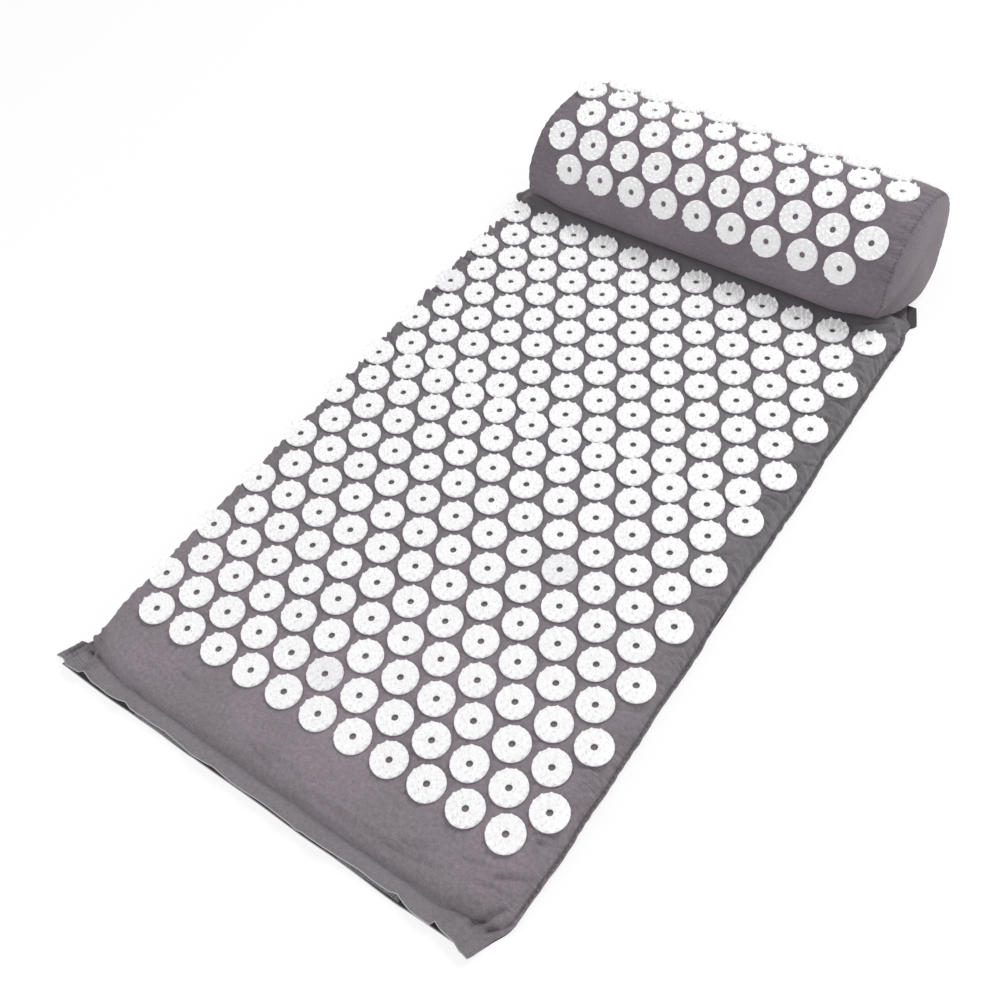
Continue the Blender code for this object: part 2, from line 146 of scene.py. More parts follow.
# Outlines of the cover's corners: places along it from its middle, and the reach there.
# The near lip runs straight out to its left corner and is drawn in to a rolled tip on its
# right. The far hem juts out past the pillow on the left. On the right the underside shows
# beyond the top cloth, which is folded in short of it.
NEAR_LEFT = ((0.302, 0.312, 0.330, 0.341, 0.345), (0.2060, 0.2108, 0.2190, 0.2235, 0.2240))
NEAR_RIGHT = ((0.305, 0.312, 0.330, 0.345, 0.350), (0.2075, 0.2062, 0.1980, 0.1918, 0.1905))
FAR_LEFT = ((0.285, 0.293, 0.298, 0.302, 0.310, 0.346),
            (0.2070, 0.2095, 0.2160, 0.2168, 0.2145, 0.2135))
FAR_RIGHT_TOP = ((0.285, 0.298, 0.319, 0.326, 0.346), (0.2055, 0.2042, 0.2040, 0.1970, 0.1890))
FAR_RIGHT_UNDER = ((0.285, 0.300, 0.318, 0.323, 0.346), (0.2040, 0.2036, 0.2040, 0.2085, 0.1995))
UNDER_FAR_LEFT = 0.2095
CORNER_START = 0.15
NEAR_LEFT_START = 0.19

# Upper lip: pleats as place, depth and length, the middles of what holds it down, and its hem
PLEATS = (
    (-0.191, 0.0030, 0.020),
    (-0.1445, 0.0034, 0.018),
    (0.128, 0.0026, 0.014),
    (0.161, 0.0038, 0.016),
)
TAPE_MIDDLES = (-0.101, 0.106)
FLAT_MIDDLES = (-0.103, 0.106)
TAPE_HOLD = 0.0018
TIP_REACH = 0.0042
CORNER_CUT = 0.0032
LIP_STAND = 0.0020
LIP_RIPPLE = 0.0017
HEM_RISE = 0.0007
HEM_INSET = 0.0014
HEM_HALF = 0.0008
TIP_PLEAT_RISE = 0.0014
TIP_PLEAT_PITCH = 0.0125
# Bulge of the far left corner
BULGE_RISE = 0.0035
BULGE_PLACE = 0.301
BULGE_HALF = 0.0075

# Swell of the plain band, and the folds of band and corners in mm: start, end, width and rise
BAND_SWELL = 0.0005
FOLDS = (
    (26, -317.5, 108, -315.5, 2.2, 2),
    (100, -316.5, 119, -314.5, 1.4, 3),
    (104, -315, 139, -299, 2, 3),
    (112, -315.5, 150, -309, 2.2, 2.25),
    (150, -298.5, 176, -291, 2, 2.25),
    (175, -298.5, 205, -280, 2, 2.75),
    (160, -306, 200, -299, 2.4, 2),
    (-30, -312, -2, -319, 1.5, 2.75),
    (-20, -309, 20, -313, 2.2, 1.5),
    (-118, -298.5, -92, -300.5, 2, 2.25),
    (-158, -305, -120, -308, 2.6, 2),
    (-154, -319.5, -145, -323.5, 1.2, 3),
    (182, -321, 198, -307, 1.7, 5.5),
    (189, -325.5, 203, -311, 1.5, 4.75),
    (176, -325, 190, -316, 1.5, 3),
    (-204, -309, -192, -329, 1.6, 4.25),
    (-199, -306, -182, -318, 1.5, 3),
    (-148, -343, -145.5, -325, 1.2, 4.25),
    (-194, -341, -189, -326, 1.2, 3.25),
    (128, -343, 134, -329, 1.2, 3),
    (161, -343, 168, -327, 1.3, 3.75),
    (-220.5, -340, -208, -312.5, 1.1, 4.5),
    (-216, -341.5, -204, -314, 1.1, 3.5),
    (196, 260, 208, 300, 1.6, 3),
    (180, 275, 206, 308, 1.8, 3),
    (186, 260, 207, 276, 1.6, 3),
)

# Gathers of the side seams, between these places along the mat
GATHER_START = -0.290
GATHER_END = 0.300
GATHER_PIVOT = 0.204
GATHER_SIDEWAYS = 0.0008

# Cloth round a disc: it leaves the disc's rim and puffs up between the discs
HELD_REACH = 0.0143
FREE_REACH = 0.0172
PUFF = 0.00045
SCALLOP_DEPTH = 0.0022
SCALLOP_HALF = 0.012
SCALLOP_COLUMN = -0.170

# Stitches
STITCH_PITCH = 0.0042
STITCH_LENGTH = 0.0030
SIDE_STITCH_WIDTH = 0.00028
END_STITCH_WIDTH = 0.00036
STITCH_PROUD = 0.0001
SIDE_SEAM_END = 0.300
SIDE_SEAM_INSET = 0.0030

# Foam inside the covers: how much less than its solid, and its rounding
SLAB_EASE = (0.022, 0.012, 0.0015)
SLAB_CORNER = 0.016
SLAB_EDGE = 0.0060
BLOCK_SIDES = 64
BLOCK_EASE = 0.0080
BLOCK_END_EASE = 0.024
BLOCK_FOOT_EASE = 0.006
BLOCK_EDGE = 0.009

# Discs
DISC_RADIUS = 0.0143
DISC_THICKNESS = 0.0015
DISC_SIDES = 24
DISC_HOLE = 0.0028
DISC_EASE = 0.0004
DISC_GAP = 0.0006
DISC_TIP = 0.008
SPIKE_SIDES = 5
SPIKE_FOOT = 0.00125
SPIKE_HEIGHT = 0.0036
SPIKE_SINK = 0.0002
SPIKE_MIDDLE = DISC_THICKNESS - SPIKE_SINK + SPIKE_HEIGHT / 2
RIM_SPIKES = 12
RIM_FOOT = 0.0029
RIM_REACH = 0.0128
RIM_NARROW = 0.78
RIM_LEAN = 1.055
# Inner rings, as their number of spikes, their reach and the angle of their first spike
SPIKE_RINGS = ((9, 0.0088, 9.0), (6, 0.0051, 24.0))
# Discs of a greyer tone in the photograph, by row and number
GREYER = {"mat_disc_row_02": (5,), "mat_disc_row_08": (8,), "mat_disc_row_16": (0,)}
GREYER_TONE = 0.45
PLAIN_TONE = 0.92
TONE_SPREAD = 0.08

# Lattice of the mat's discs, and how the stretched cloth has moved and turned it
MAT_ROWS = 20
COLUMN_PITCH = 0.034
LATTICE_SHIFT = (0.00096, 0.00026)
LATTICE_SHEAR = -0.0021
LATTICE_STRETCH = 0.0085

# Pillow
PILLOW_LEAN = math.radians(12.395873)
PILLOW_YAW = math.radians(-1.8)
PILLOW_HALF = 0.185
PILLOW_RADIUS = 0.0680
PILLOW_DROP = 0.0327
PILLOW_CORNER = 0.014
CORNER_STEPS = 9
ARCH_STEPS = 210
BASE_STEPS = 34
PILLOW_PITCH = 0.0355
PILLOW_ROWS = 7
ROW_ANGLE = math.radians(24.0)
FIELD_LEAD = math.radians(6.9)
FIELD_SHIFT = 0.0034
DISC_SEAT = 0.0681
SEAT_SINK = 0.0002
SEAT_REACH = 0.0145
SEAT_FREE_REACH = 0.0178
ARCH_PUFF = 0.0011
SEAM_PUCKER_PITCH = 0.0100
SEAM_PUCKER_DEPTH = 0.0032
SEAM_DIP = 0.0010
PULL_CENTRE = 0.01
END_PUCKER_PITCH = 0.0080
END_PUCKER_DEPTH = 0.0012
END_RING_SHARES = (0.985, 0.96, 0.93, 0.89, 0.84, 0.78, 0.70, 0.60, 0.49, 0.37, 0.25, 0.12)
# Size of the section along each half of the pillow, as a share of its middle
SIZE_PLACES = (0.0, 0.45, 0.75, 0.90, 0.96, 1.0)
SIZE_LEFT = (1.0, 0.999, 0.997, 0.990, 0.982, 0.970)
SIZE_RIGHT = (1.0, 1.0, 1.001, 1.005, 1.006, 0.992)
# The left end seam leans in at its top: heights, and how far out the seam lies there
LEFT_SEAM = ((-0.04, 0.0, 0.023, 0.043, 0.057, 0.066),
             (0.003, 0.003, -0.0006, -0.003, -0.0075, -0.0115))


def mix(start, end, share):
    return start + (end - start) * share


def smooth_step(low, high, value):
    share = np.clip((value - low) / (high - low), 0.0, 1.0)
    return share * share * (3.0 - 2.0 * share)


def bell(offset, width):
    return np.exp(-(offset / width) ** 2)


def swells(x, y, seed, length, waves=18):
    """A smooth uneven surface from about -1 to 1, with humps about one length across."""
    draw = np.random.default_rng(seed)
    total = np.zeros(np.broadcast(x, y).shape)
    for _ in range(waves):
        turn, phase = draw.uniform(0.0, 2.0 * math.pi, 2)
        size = length * draw.uniform(0.7, 1.6)
        total += np.cos((x * math.cos(turn) + y * math.sin(turn)) * 2.0 * math.pi / size + phase)
    return total / math.sqrt(waves) * 0.8


def crease(x, y, x0, y0, x1, y1, width, rise):
    """A short fold of the cloth: a ridge with a shallow valley on its far side."""
    dx, dy = x1 - x0, y1 - y0
    span = math.hypot(dx, dy)
    along = ((x - x0) * dx + (y - y0) * dy) / span ** 2
    off = ((x - x0) * dy - (y - y0) * dx) / span / width
    body = bell(off, 1.0) - 0.6 * bell(off - 1.8, 1.0)
    taper = smooth_step(-0.1, 0.3, along) * (1.0 - smooth_step(0.7, 1.1, along))
    return rise * body * taper


def spaced(*stretches):
    """Places along a line: each stretch gives its start, its end and its step."""
    places = [stretches[0][0]]
    for start, end, step in stretches:
        count = max(1, round((end - start) / step))
        places += [mix(start, end, (n + 1) / count) for n in range(count)]
    return np.array(places)


def mirrored(places):
    return np.concatenate([-places[:0:-1], places])


def distances(path):
    """How far along the path each of its points lies."""
    steps = np.linalg.norm(np.diff(path, axis=0), axis=1)
    return np.concatenate([[0.0], np.cumsum(steps)])


def point_at(place, gone, path):
    return np.array([np.interp(place, gone, column) for column in path.T])


def unit(vector):
    return vector / np.linalg.norm(vector)


def deselect():
    if bpy.context.mode != "OBJECT":
        bpy.ops.object.mode_set(mode="OBJECT")
    bpy.ops.object.select_all(action="DESELECT")


def joined(items):
    deselect()
    for item in items:
        item.select_set(True)
    bpy.context.view_layer.objects.active = items[0]
    bpy.ops.object.join()
    return items[0]


def apply_modifier(item, modifier):
    deselect()
    item.select_set(True)
    bpy.context.view_layer.objects.active = item
    bpy.ops.object.modifier_apply(modifier=modifier.name)


def bevel_edges(item, chosen, offset, segments):
    """Bevel the edges that the test chooses, on an item in edit mode."""
    bpy.ops.mesh.select_all(action="DESELECT")
    work = bmesh.from_edit_mesh(item.data)
    for edge in work.edges:
        edge.select_set(chosen(edge))
    bmesh.update_edit_mesh(item.data)
    bpy.ops.mesh.bevel(offset=offset, segments=segments, affect="EDGES")


def smooth_below(item, degrees):
    item.data.shade_smooth()
    item.data.set_sharp_from_angle(angle=math.radians(degrees))


def named(item, name, material):
    item.name = name
    item.data.name = name
    item.data.materials.clear()
    item.data.materials.append(material)
    return item


def lay_uv(mesh, flat):
    """Each corner of the mesh takes its vertex's place in the flat cloth."""
    corners = np.empty(len(mesh.loops), dtype=int)
    mesh.loops.foreach_get("vertex_index", corners)
    mesh.uv_layers[0].data.foreach_set("uv", flat[corners].ravel())


def lay_grid(name, points, flat, material):
    """A grid primitive whose vertices are laid at the points, with its flat cloth as UV map."""
    rows, columns = points.shape[:2]
    deselect()
    bpy.ops.mesh.primitive_grid_add(x_subdivisions=columns - 1, y_subdivisions=rows - 1, size=1.0)
    sheet = named(bpy.context.object, name, material)
    mesh = sheet.data
    rest = np.empty(len(mesh.vertices) * 3)
    mesh.vertices.foreach_get("co", rest)
    rest = rest.reshape(-1, 3)
    column = np.rint((rest[:, 0] + 0.5) * (columns - 1)).astype(int)
    row = np.rint((rest[:, 1] + 0.5) * (rows - 1)).astype(int)
    mesh.vertices.foreach_set("co", points[row, column].ravel())
    lay_uv(mesh, flat[row, column])
    mesh.update()
    mesh.shade_smooth()
    return sheet


def build_mesh(name, points, faces, material):
    """A smooth object of points and faces, its faces turned outward."""
    mesh = bpy.data.meshes.new(name)
    mesh.from_pydata([tuple(point) for point in points], [], faces)
    item = bpy.data.objects.new(name, mesh)
    bpy.context.scene.collection.objects.link(item)
    work = bmesh.new()
    work.from_mesh(mesh)
    bmesh.ops.recalc_face_normals(work, faces=work.faces)
    work.to_mesh(mesh)
    work.free()
    mesh.shade_smooth()
    return named(item, name, material)


def give_thickness(sheet):
    wall = sheet.modifiers.new("thickness", "SOLIDIFY")
    wall.thickness = CLOTH
    wall.offset = -1.0
    wall.use_even_offset = False
    apply_modifier(sheet, wall)


# Shader groups and materials

def feed(tree, value, socket):
    """Set a socket to a number or a colour, or link another node's output to it."""
    if isinstance(value, tuple):
        socket.default_value = (*value, 1.0)
    elif isinstance(value, (int, float)):
        socket.default_value = value
    else:
        tree.links.new(value, socket)


def maths(tree, operation, *values):
    node = tree.nodes.new("ShaderNodeMath")
    node.operation = operation
    for socket, value in zip(node.inputs, values):
        feed(tree, value, socket)
    return node.outputs[0]


def noise(tree, vector, scale, detail=3.0, roughness=0.5):
    node = tree.nodes.new("ShaderNodeTexNoise")
    node.inputs["Scale"].default_value = scale
    node.inputs["Detail"].default_value = detail
    node.inputs["Roughness"].default_value = roughness
    tree.links.new(vector, node.inputs["Vector"])
    return node.outputs["Fac"]


def ranged(tree, value, low, high, kind="SMOOTHSTEP"):
    """0 at the low limit, 1 at the high one, and a ramp of that kind between them."""
    node = tree.nodes.new("ShaderNodeMapRange")
    node.interpolation_type = kind
    tree.links.new(value, node.inputs["Value"])
    feed(tree, low, node.inputs["From Min"])
    feed(tree, high, node.inputs["From Max"])
    return node.outputs["Result"]


def blend_colors(tree, factor, first, second, kind="MIX"):
    """The first colour where the factor is 0 and the second where it is 1."""
    node = tree.nodes.new("ShaderNodeMix")
    node.data_type = "RGBA"
    node.blend_type = kind
    feed(tree, factor, node.inputs["Factor"])
    feed(tree, first, node.inputs[6])
    feed(tree, second, node.inputs[7])
    return node.outputs[2]


def add_bump(tree, shader, height, distance, strength):
    bump = tree.nodes.new("ShaderNodeBump")
    bump.inputs["Distance"].default_value = distance
    bump.inputs["Strength"].default_value = strength
    tree.links.new(height, bump.inputs["Height"])
    tree.links.new(bump.outputs["Normal"], shader.inputs["Normal"])


def new_group(name, inputs, outputs):
    group = bpy.data.node_groups.new(name, "ShaderNodeTree")
    for way, sockets in (("INPUT", inputs), ("OUTPUT", outputs)):
        for label, kind in sockets:
            group.interface.new_socket(name=label, in_out=way, socket_type=f"NodeSocket{kind}")
    return group, group.nodes.new("NodeGroupInput"), group.nodes.new("NodeGroupOutput")


def place_group(tree, group, vector, **values):
    node = tree.nodes.new("ShaderNodeGroup")
    node.node_tree = group
    tree.links.new(vector, node.inputs["Vector"])
    for label, value in values.items():
        feed(tree, value, node.inputs[label])
    return node


def split_vector(tree, vector):
    node = tree.nodes.new("ShaderNodeSeparateXYZ")
    tree.links.new(vector, node.inputs[0])
    return node.outputs


def make_weave_group():
    """Plain weave on a flat vector in metres: the height of the threads and their shade."""
    group, given, result = new_group(
        "plain_weave", [("Vector", "Vector")], [("Height", "Float"), ("Shade", "Float")])
    flat = split_vector(group, given.outputs["Vector"])
    turn = 2.0 * math.pi / WEAVE_PITCH
    weft = maths(group, "SINE", maths(group, "MULTIPLY", flat["X"], turn))
    warp = maths(group, "SINE", maths(group, "MULTIPLY", flat["Y"], turn))
    crossing = maths(group, "MULTIPLY", weft, warp)
    slub = noise(group, given.outputs["Vector"], 900.0, 2.0)
    height = maths(group, "ADD", maths(group, "MULTIPLY", crossing, 0.5), slub)
    shade = maths(group, "ADD", maths(group, "MULTIPLY", crossing, 0.06), 0.94)
    group.links.new(height, result.inputs["Height"])
    group.links.new(shade, result.inputs["Shade"])
    return group


def make_dye_group():
    """Uneven dyeing: two near tones mixed by large and small clouds."""
    group, given, result = new_group(
        "uneven_dye", [("Vector", "Vector"), ("Light", "Color"), ("Dark", "Color")],
        [("Color", "Color")])
    large = noise(group, given.outputs["Vector"], 14.0, 2.0)
    small = noise(group, given.outputs["Vector"], 260.0, 4.0, 0.6)
    clouds = maths(group, "ADD", maths(group, "MULTIPLY", large, 0.55),
                   maths(group, "MULTIPLY", small, 0.45))
    share = ranged(group, clouds, 0.40, 0.60, "LINEAR")
    color = blend_colors(group, share, given.outputs["Dark"], given.outputs["Light"])
    group.links.new(color, result.inputs["Color"])
    return group


def make_gather_group():
    """Fine creases that run out of a seam: their height, over a flat vector in metres."""
    group, given, result = new_group(
        "seam_gathers", [("Vector", "Vector"), ("Start", "Float"), ("End", "Float")],
        [("Height", "Float")])
    flat = split_vector(group, given.outputs["Vector"])
    side = maths(group, "ABSOLUTE", flat["X"])
    beside = ranged(group, side, given.outputs["Start"], given.outputs["End"])
    sway = maths(group, "MULTIPLY", noise(group, given.outputs["Vector"], 13.0, 0.0), 0.034)
    stretched = group.nodes.new("ShaderNodeCombineXYZ")
    group.links.new(maths(group, "MULTIPLY", flat["X"], 26.0), stretched.inputs["X"])
    swayed = maths(group, "MULTIPLY", maths(group, "ADD", flat["Y"], sway), 170.0)
    group.links.new(swayed, stretched.inputs["Y"])
    waves = noise(group, stretched.outputs[0], 1.0, 1.5, 0.45)
    away = maths(group, "ABSOLUTE", maths(group, "SUBTRACT", waves, 0.5))
    ridges = maths(group, "SUBTRACT", 1.0, maths(group, "MULTIPLY", away, 4.0))
    patches = ranged(group, noise(group, given.outputs["Vector"], 19.0, 1.0), 0.34, 0.54)
    shown = maths(group, "MULTIPLY", beside, patches)
    group.links.new(maths(group, "MULTIPLY", ridges, shown), result.inputs["Height"])
    return group


def new_material(name, **values):
    """A material with its shader, whose inputs take the values, and its coordinates."""
    material = bpy.data.materials.new(name)
    material.use_nodes = True
    tree = material.node_tree
    shader = tree.nodes["Principled BSDF"]
    for label, value in values.items():
        shader.inputs[label.replace("_", " ")].default_value = value
    return material, tree, shader, tree.nodes.new("ShaderNodeTexCoord").outputs


def make_cotton(name, dyes, groups, gathers=None, lip_tone_and_field_shade=False, hem=None):
    """Matte woven cotton, its threads following the piece's UV map in metres.

    Gathers add creases between their two reaches. The lip gets its own tone, and the
    discs' field gets a painted shade that is darker and greyer towards the pillow.
    A hem gets a painted highlight, pale along its edge.
    """
    weave, dye, creases = groups
    material, tree, shader, place = new_material(
        name, Roughness=0.93, Sheen_Weight=0.12, Sheen_Roughness=0.6, Specular_IOR_Level=0.25)
    threads = place_group(tree, weave, place["UV"])
    light, dark = dyes
    color = place_group(tree, dye, place["Object"], Light=light, Dark=dark).outputs["Color"]
    along = split_vector(tree, place["UV"])["Y"]
    if lip_tone_and_field_shade:
        color = blend_colors(tree, ranged(tree, along, *LIP_TONE_ENDS), LIP_TONE, color)
        # Past the near band the cotton takes a painted shade, darker and greyer towards the pillow, for
        # the shade between the discs and under the pillow
        past = maths(tree, "MULTIPLY", ranged(tree, along, *FIELD_SHADE_ENDS), FIELD_SHADE_SHARE)
        color = blend_colors(tree, past, color, FIELD_PAINTED_SHADE)
    color = blend_colors(tree, 1.0, color, threads.outputs["Shade"], "MULTIPLY")
    fine = maths(tree, "MULTIPLY", noise(tree, place["UV"], 1100.0, 2.0), 0.9)
    coarse = maths(tree, "MULTIPLY", noise(tree, place["UV"], 300.0, 2.0), 0.5)
    slubs = maths(tree, "ADD", maths(tree, "ADD", fine, coarse), 0.3)
    color = blend_colors(tree, 1.0, color, slubs, "MULTIPLY")
    if hem is not None:
        # Painted highlight: the hem's edge is made pale, as where its fold catches the light
        inside = ranged(tree, along, 0.9 * MM - hem, 0.3 * MM - hem)
        color = blend_colors(tree, inside, color, HEM_PAINTED_HIGHLIGHT)
    tree.links.new(color, shader.inputs["Base Color"])
    crumple = maths(tree, "MULTIPLY", noise(tree, place["UV"], 48.0, 3.0, 0.55), 0.9)
    height = maths(tree, "ADD", crumple, maths(tree, "MULTIPLY", threads.outputs["Height"], 0.045))
    if gathers is not None:
        lines = place_group(tree, creases, place["UV"], Start=gathers[0], End=gathers[1])
        height = maths(tree, "ADD", height, lines.outputs["Height"])
    add_bump(tree, shader, height, 0.0012, 1.0)
    return material


def make_plastic(name):
    """Moulded white discs: each has its own tone, with a soft gloss and faint flow marks."""
    material, tree, shader, place = new_material(
        name, IOR=1.5, Subsurface_Weight=0.75, Subsurface_Radius=(1.0, 1.0, 1.0),
        Subsurface_Scale=0.0035, Coat_Weight=0.06, Coat_Roughness=0.25)
    tone = tree.nodes.new("ShaderNodeAttribute")
    tone.attribute_name = "disc_tone"
    marks = noise(tree, place["Object"], 420.0, 3.0, 0.55)
    rough = maths(tree, "ADD", maths(tree, "MULTIPLY", marks, 0.22), 0.36)
    tree.links.new(rough, shader.inputs["Roughness"])
    color = blend_colors(tree, tone.outputs["Fac"], DISC_GREY, DISC_WHITE)
    tree.links.new(color, shader.inputs["Base Color"])
    add_bump(tree, shader, marks, 0.0001, 0.3)
    return material


def make_cells(name, roughness, scale, stops, hooked):
    """Small cells, whose colour runs between two stops: hooks stand up from them, pores dip. The colour is
    painted light, lighter where the cells stand up and darker in their dips as a painted shade.
    """
    material, tree, shader, place = new_material(name, Roughness=roughness)
    cells = tree.nodes.new("ShaderNodeTexVoronoi")
    cells.inputs["Scale"].default_value = scale
    tree.links.new(place["Object"], cells.inputs["Vector"])
    ramp = tree.nodes.new("ShaderNodeValToRGB")
    for element, (position, color) in zip(ramp.color_ramp.elements, stops):
        element.position = position
        element.color = (*color, 1.0)
    off = cells.outputs["Distance"]
    tree.links.new(off, ramp.inputs["Fac"])
    tree.links.new(ramp.outputs["Color"], shader.inputs["Base Color"])
    if hooked:
        add_bump(tree, shader, maths(tree, "SUBTRACT", 1.0, off), 0.0003, 0.8)
    else:
        add_bump(tree, shader, off, 0.0004, 0.7)
    return material


def make_thread(name, color):
    """Twisted sewing thread, with a painted shade in the hollows of its twist."""
    material, tree, shader, place = new_material(name, Roughness=0.6)
    twist = noise(tree, place["Object"], 2600.0, 1.0)
    hollow_shade = tuple(0.6 * value for value in color)
    tree.links.new(blend_colors(tree, twist, hollow_shade, color), shader.inputs["Base Color"])
    add_bump(tree, shader, twist, 0.0001, 0.5)
    return material


# Discs

def add_spike(angle, reach, sides, foot, turn, narrow=1.0):
    """A pointed spike of so many sides, standing in the plate at an angle and a reach."""
    bpy.ops.mesh.primitive_cone_add(
        vertices=sides, radius1=foot, radius2=0.0, depth=SPIKE_HEIGHT,
        location=(reach * math.cos(angle), reach * math.sin(angle), SPIKE_MIDDLE),
        rotation=(0.0, 0.0, turn), scale=(1.0, narrow, 1.0))
    return bpy.context.object


def model_spikes():
    """A disc's spikes as one object: three-sided ones leaning out by the rim, then the inner rings."""
    spikes = []
    for step in range(RIM_SPIKES):
        angle = step * 2.0 * math.pi / RIM_SPIKES
        spikes.append(add_spike(angle, RIM_REACH, 3, RIM_FOOT, angle + math.pi / 2, RIM_NARROW))
    for count, reach, lead in SPIKE_RINGS:
        for step in range(count):
            angle = math.radians(lead) + step * 2.0 * math.pi / count
            spikes.append(add_spike(angle, reach, SPIKE_SIDES, SPIKE_FOOT, angle))
    cones = joined(spikes)
    bpy.ops.object.transform_apply(location=True, rotation=True, scale=True)
    bpy.ops.object.mode_set(mode="EDIT")
    work = bmesh.from_edit_mesh(cones.data)
    for vertex in work.verts:
        on_rim = vertex.co.xy.length > RIM_REACH - SPIKE_SINK
        vertex.select_set(vertex.co.z > SPIKE_MIDDLE and on_rim)
    bmesh.update_edit_mesh(cones.data)
    bpy.ops.transform.resize(value=(RIM_LEAN, RIM_LEAN, 1.0), center_override=(0.0, 0.0, 0.0))
    bpy.ops.object.mode_set(mode="OBJECT")
    return cones


def on_upper_rim(edge):
    ends = [vertex.co for vertex in edge.verts]
    upper = all(end.z > DISC_THICKNESS / 2 for end in ends)
    return upper and all(end.xy.length > DISC_RADIUS - DISC_EASE for end in ends)


def model_disc():
    """One disc on the origin: a plate with a centre hole and an eased rim, and its spikes."""
    deselect()
    bpy.ops.mesh.primitive_cylinder_add(
        vertices=DISC_SIDES, radius=DISC_RADIUS, depth=DISC_THICKNESS,
        location=(0.0, 0.0, DISC_THICKNESS / 2))
    plate = bpy.context.object
    bpy.ops.object.mode_set(mode="EDIT")
    work = bmesh.from_edit_mesh(plate.data)
    for face in work.faces:
        face.select_set(abs(face.normal.z) > 0.9)
    bmesh.update_edit_mesh(plate.data)
    bpy.ops.mesh.inset(thickness=DISC_RADIUS - DISC_HOLE)
    bpy.ops.mesh.bridge_edge_loops()
    bevel_edges(plate, on_upper_rim, DISC_EASE, 1)
    bpy.ops.object.mode_set(mode="OBJECT")
    cones = model_spikes()
    union = plate.modifiers.new("spikes", "BOOLEAN")
    union.operation = "UNION"
    union.solver = "EXACT"
    union.object = cones
    apply_modifier(plate, union)
    bpy.data.objects.remove(cones, do_unlink=True)
    smooth_below(plate, 32.0)
    return plate


def lay_discs(name, disc, seats, material, draw, greyer=()):
    """Copies of the disc on their seats, each welded on at its own turn, joined as a row."""
    copies = []
    for number, seat in enumerate(seats):
        copy = disc.copy()
        copy.data = disc.data.copy()
        bpy.context.scene.collection.objects.link(copy)
        turn = Matrix.Rotation(draw.uniform(0.0, math.pi / 3.0), 4, "Z")
        tip_x = Matrix.Rotation(draw.normal(0.0, DISC_TIP), 4, "X")
        tip_y = Matrix.Rotation(draw.normal(0.0, DISC_TIP), 4, "Y")
        copy.data.transform(seat @ (tip_x @ tip_y) @ turn)
        tone = GREYER_TONE
        if number not in greyer:
            tone = PLAIN_TONE + TONE_SPREAD * draw.uniform(-1.0, 1.0)
        layer = copy.data.attributes.new("disc_tone", "FLOAT", "POINT")
        tones = np.full(len(copy.data.vertices), tone, dtype=np.float32)
        layer.data.foreach_set("value", tones)
        copies.append(copy)
    return named(joined(copies), name, material)


def centred(middle, count, pitch):
    return [middle + (number - (count - 1) / 2) * pitch for number in range(count)]


def lifted(x, y):
    """How far the mat's edges curl up off the floor, away from the ends and the pillow."""
    free = (1.0 - smooth_step(*LIFT_FAR_ENDS, y)) * (1.0 - smooth_step(*LIFT_NEAR_ENDS, -y))
    return EDGE_LIFT * (x / LIFT_REACH) ** 2 * free


def mat_row_places(node):
    """Where the discs of one row sit, from the row's own box and the cloth's stretch."""
    low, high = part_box(node)
    count = 1 + round((high[0] - low[0] - 2.0 * DISC_RADIUS) / COLUMN_PITCH)
    x, y = (low[0] + high[0]) / 2, (low[1] + high[1]) / 2
    x, y = x + LATTICE_SHIFT[0] + LATTICE_SHEAR * y, y + LATTICE_SHIFT[1] + LATTICE_STRETCH * y
    return [(place, y) for place in centred(x, count, COLUMN_PITCH)]


def pillow_row_places(row):
    """Angle round the arch and places along the pillow of one row, from the front."""
    angle = math.pi / 2 + FIELD_LEAD + ROW_ANGLE * ((PILLOW_ROWS - 1) / 2 - row)
    return angle, centred(FIELD_SHIFT, 10 if row % 2 else 9, PILLOW_PITCH)


def mat_seat(x, y):
    """A disc's place on the mat, tipped with the lifted edge."""
    slope = 2.0 * lifted(x, y) / x if abs(x) > MM else 0.0
    tip = Matrix.Rotation(-math.atan(slope), 4, "Y")
    return Matrix.Translation((x, y, MAT_TOP + DISC_GAP + lifted(x, y))) @ tip


def pillow_seat(pose, angle, x):
    place = (x, DISC_SEAT * math.cos(angle), DISC_SEAT * math.sin(angle))
    return pose @ Matrix.Translation(place) @ Matrix.Rotation(angle - math.pi / 2, 4, "X")


def make_discs(material, pose, disc_rows):
    disc = model_disc()
    draw = np.random.default_rng(41)
    for node, places in disc_rows.items():
        seats = [mat_seat(x, y) for x, y in places]
        name = node.replace("disc_row", "discs")
        row = lay_discs(name, disc, seats, material, draw, GREYER.get(node, ()))
        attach(row, "mat")
        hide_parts(node)
    for number in range(PILLOW_ROWS):
        angle, places = pillow_row_places(number)
        seats = [pillow_seat(pose, angle, x) for x in places]
        row = lay_discs(f"pillow_discs_{number + 1}", disc, seats, material, draw)
        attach(row, "pillow")
        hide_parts(f"pillow_disc_row_{number + 1}")
    bpy.data.objects.remove(disc, do_unlink=True)


# Mat cover

def side_profile(size, left):
    """How far out and how far down the cloth lies, by its reach from the mat's middle."""
    flat = np.where(left, FLAT_LEFT, FLAT_RIGHT)
    across = np.where(left, ROUND_LEFT, ROUND_RIGHT)
    arc = math.pi / 2 * np.sqrt((across ** 2 + WALL_FOOT ** 2) / 2)
    turn = np.clip((size - flat) / arc, 0.0, 1.0) * math.pi / 2
    out = np.minimum(size, flat) + across * np.sin(turn)
    drop = WALL_FOOT * (1.0 - np.cos(turn))
    flange = np.clip((size - flat - arc) / (HALF_REACH - flat - arc), 0.0, 1.0)
    return out + FLANGE * flange, drop, flange


def near_fall(beyond, run):
    """The cloth steepens over the foam's near end down to a sharp valley."""
    share = np.clip(beyond / run, 0.0, None)
    dip = VALLEY_DIP * bell(beyond - run, VALLEY_WIDTH)
    return np.minimum(NEAR_FALL * share ** 2.1, NEAR_FALL) + dip


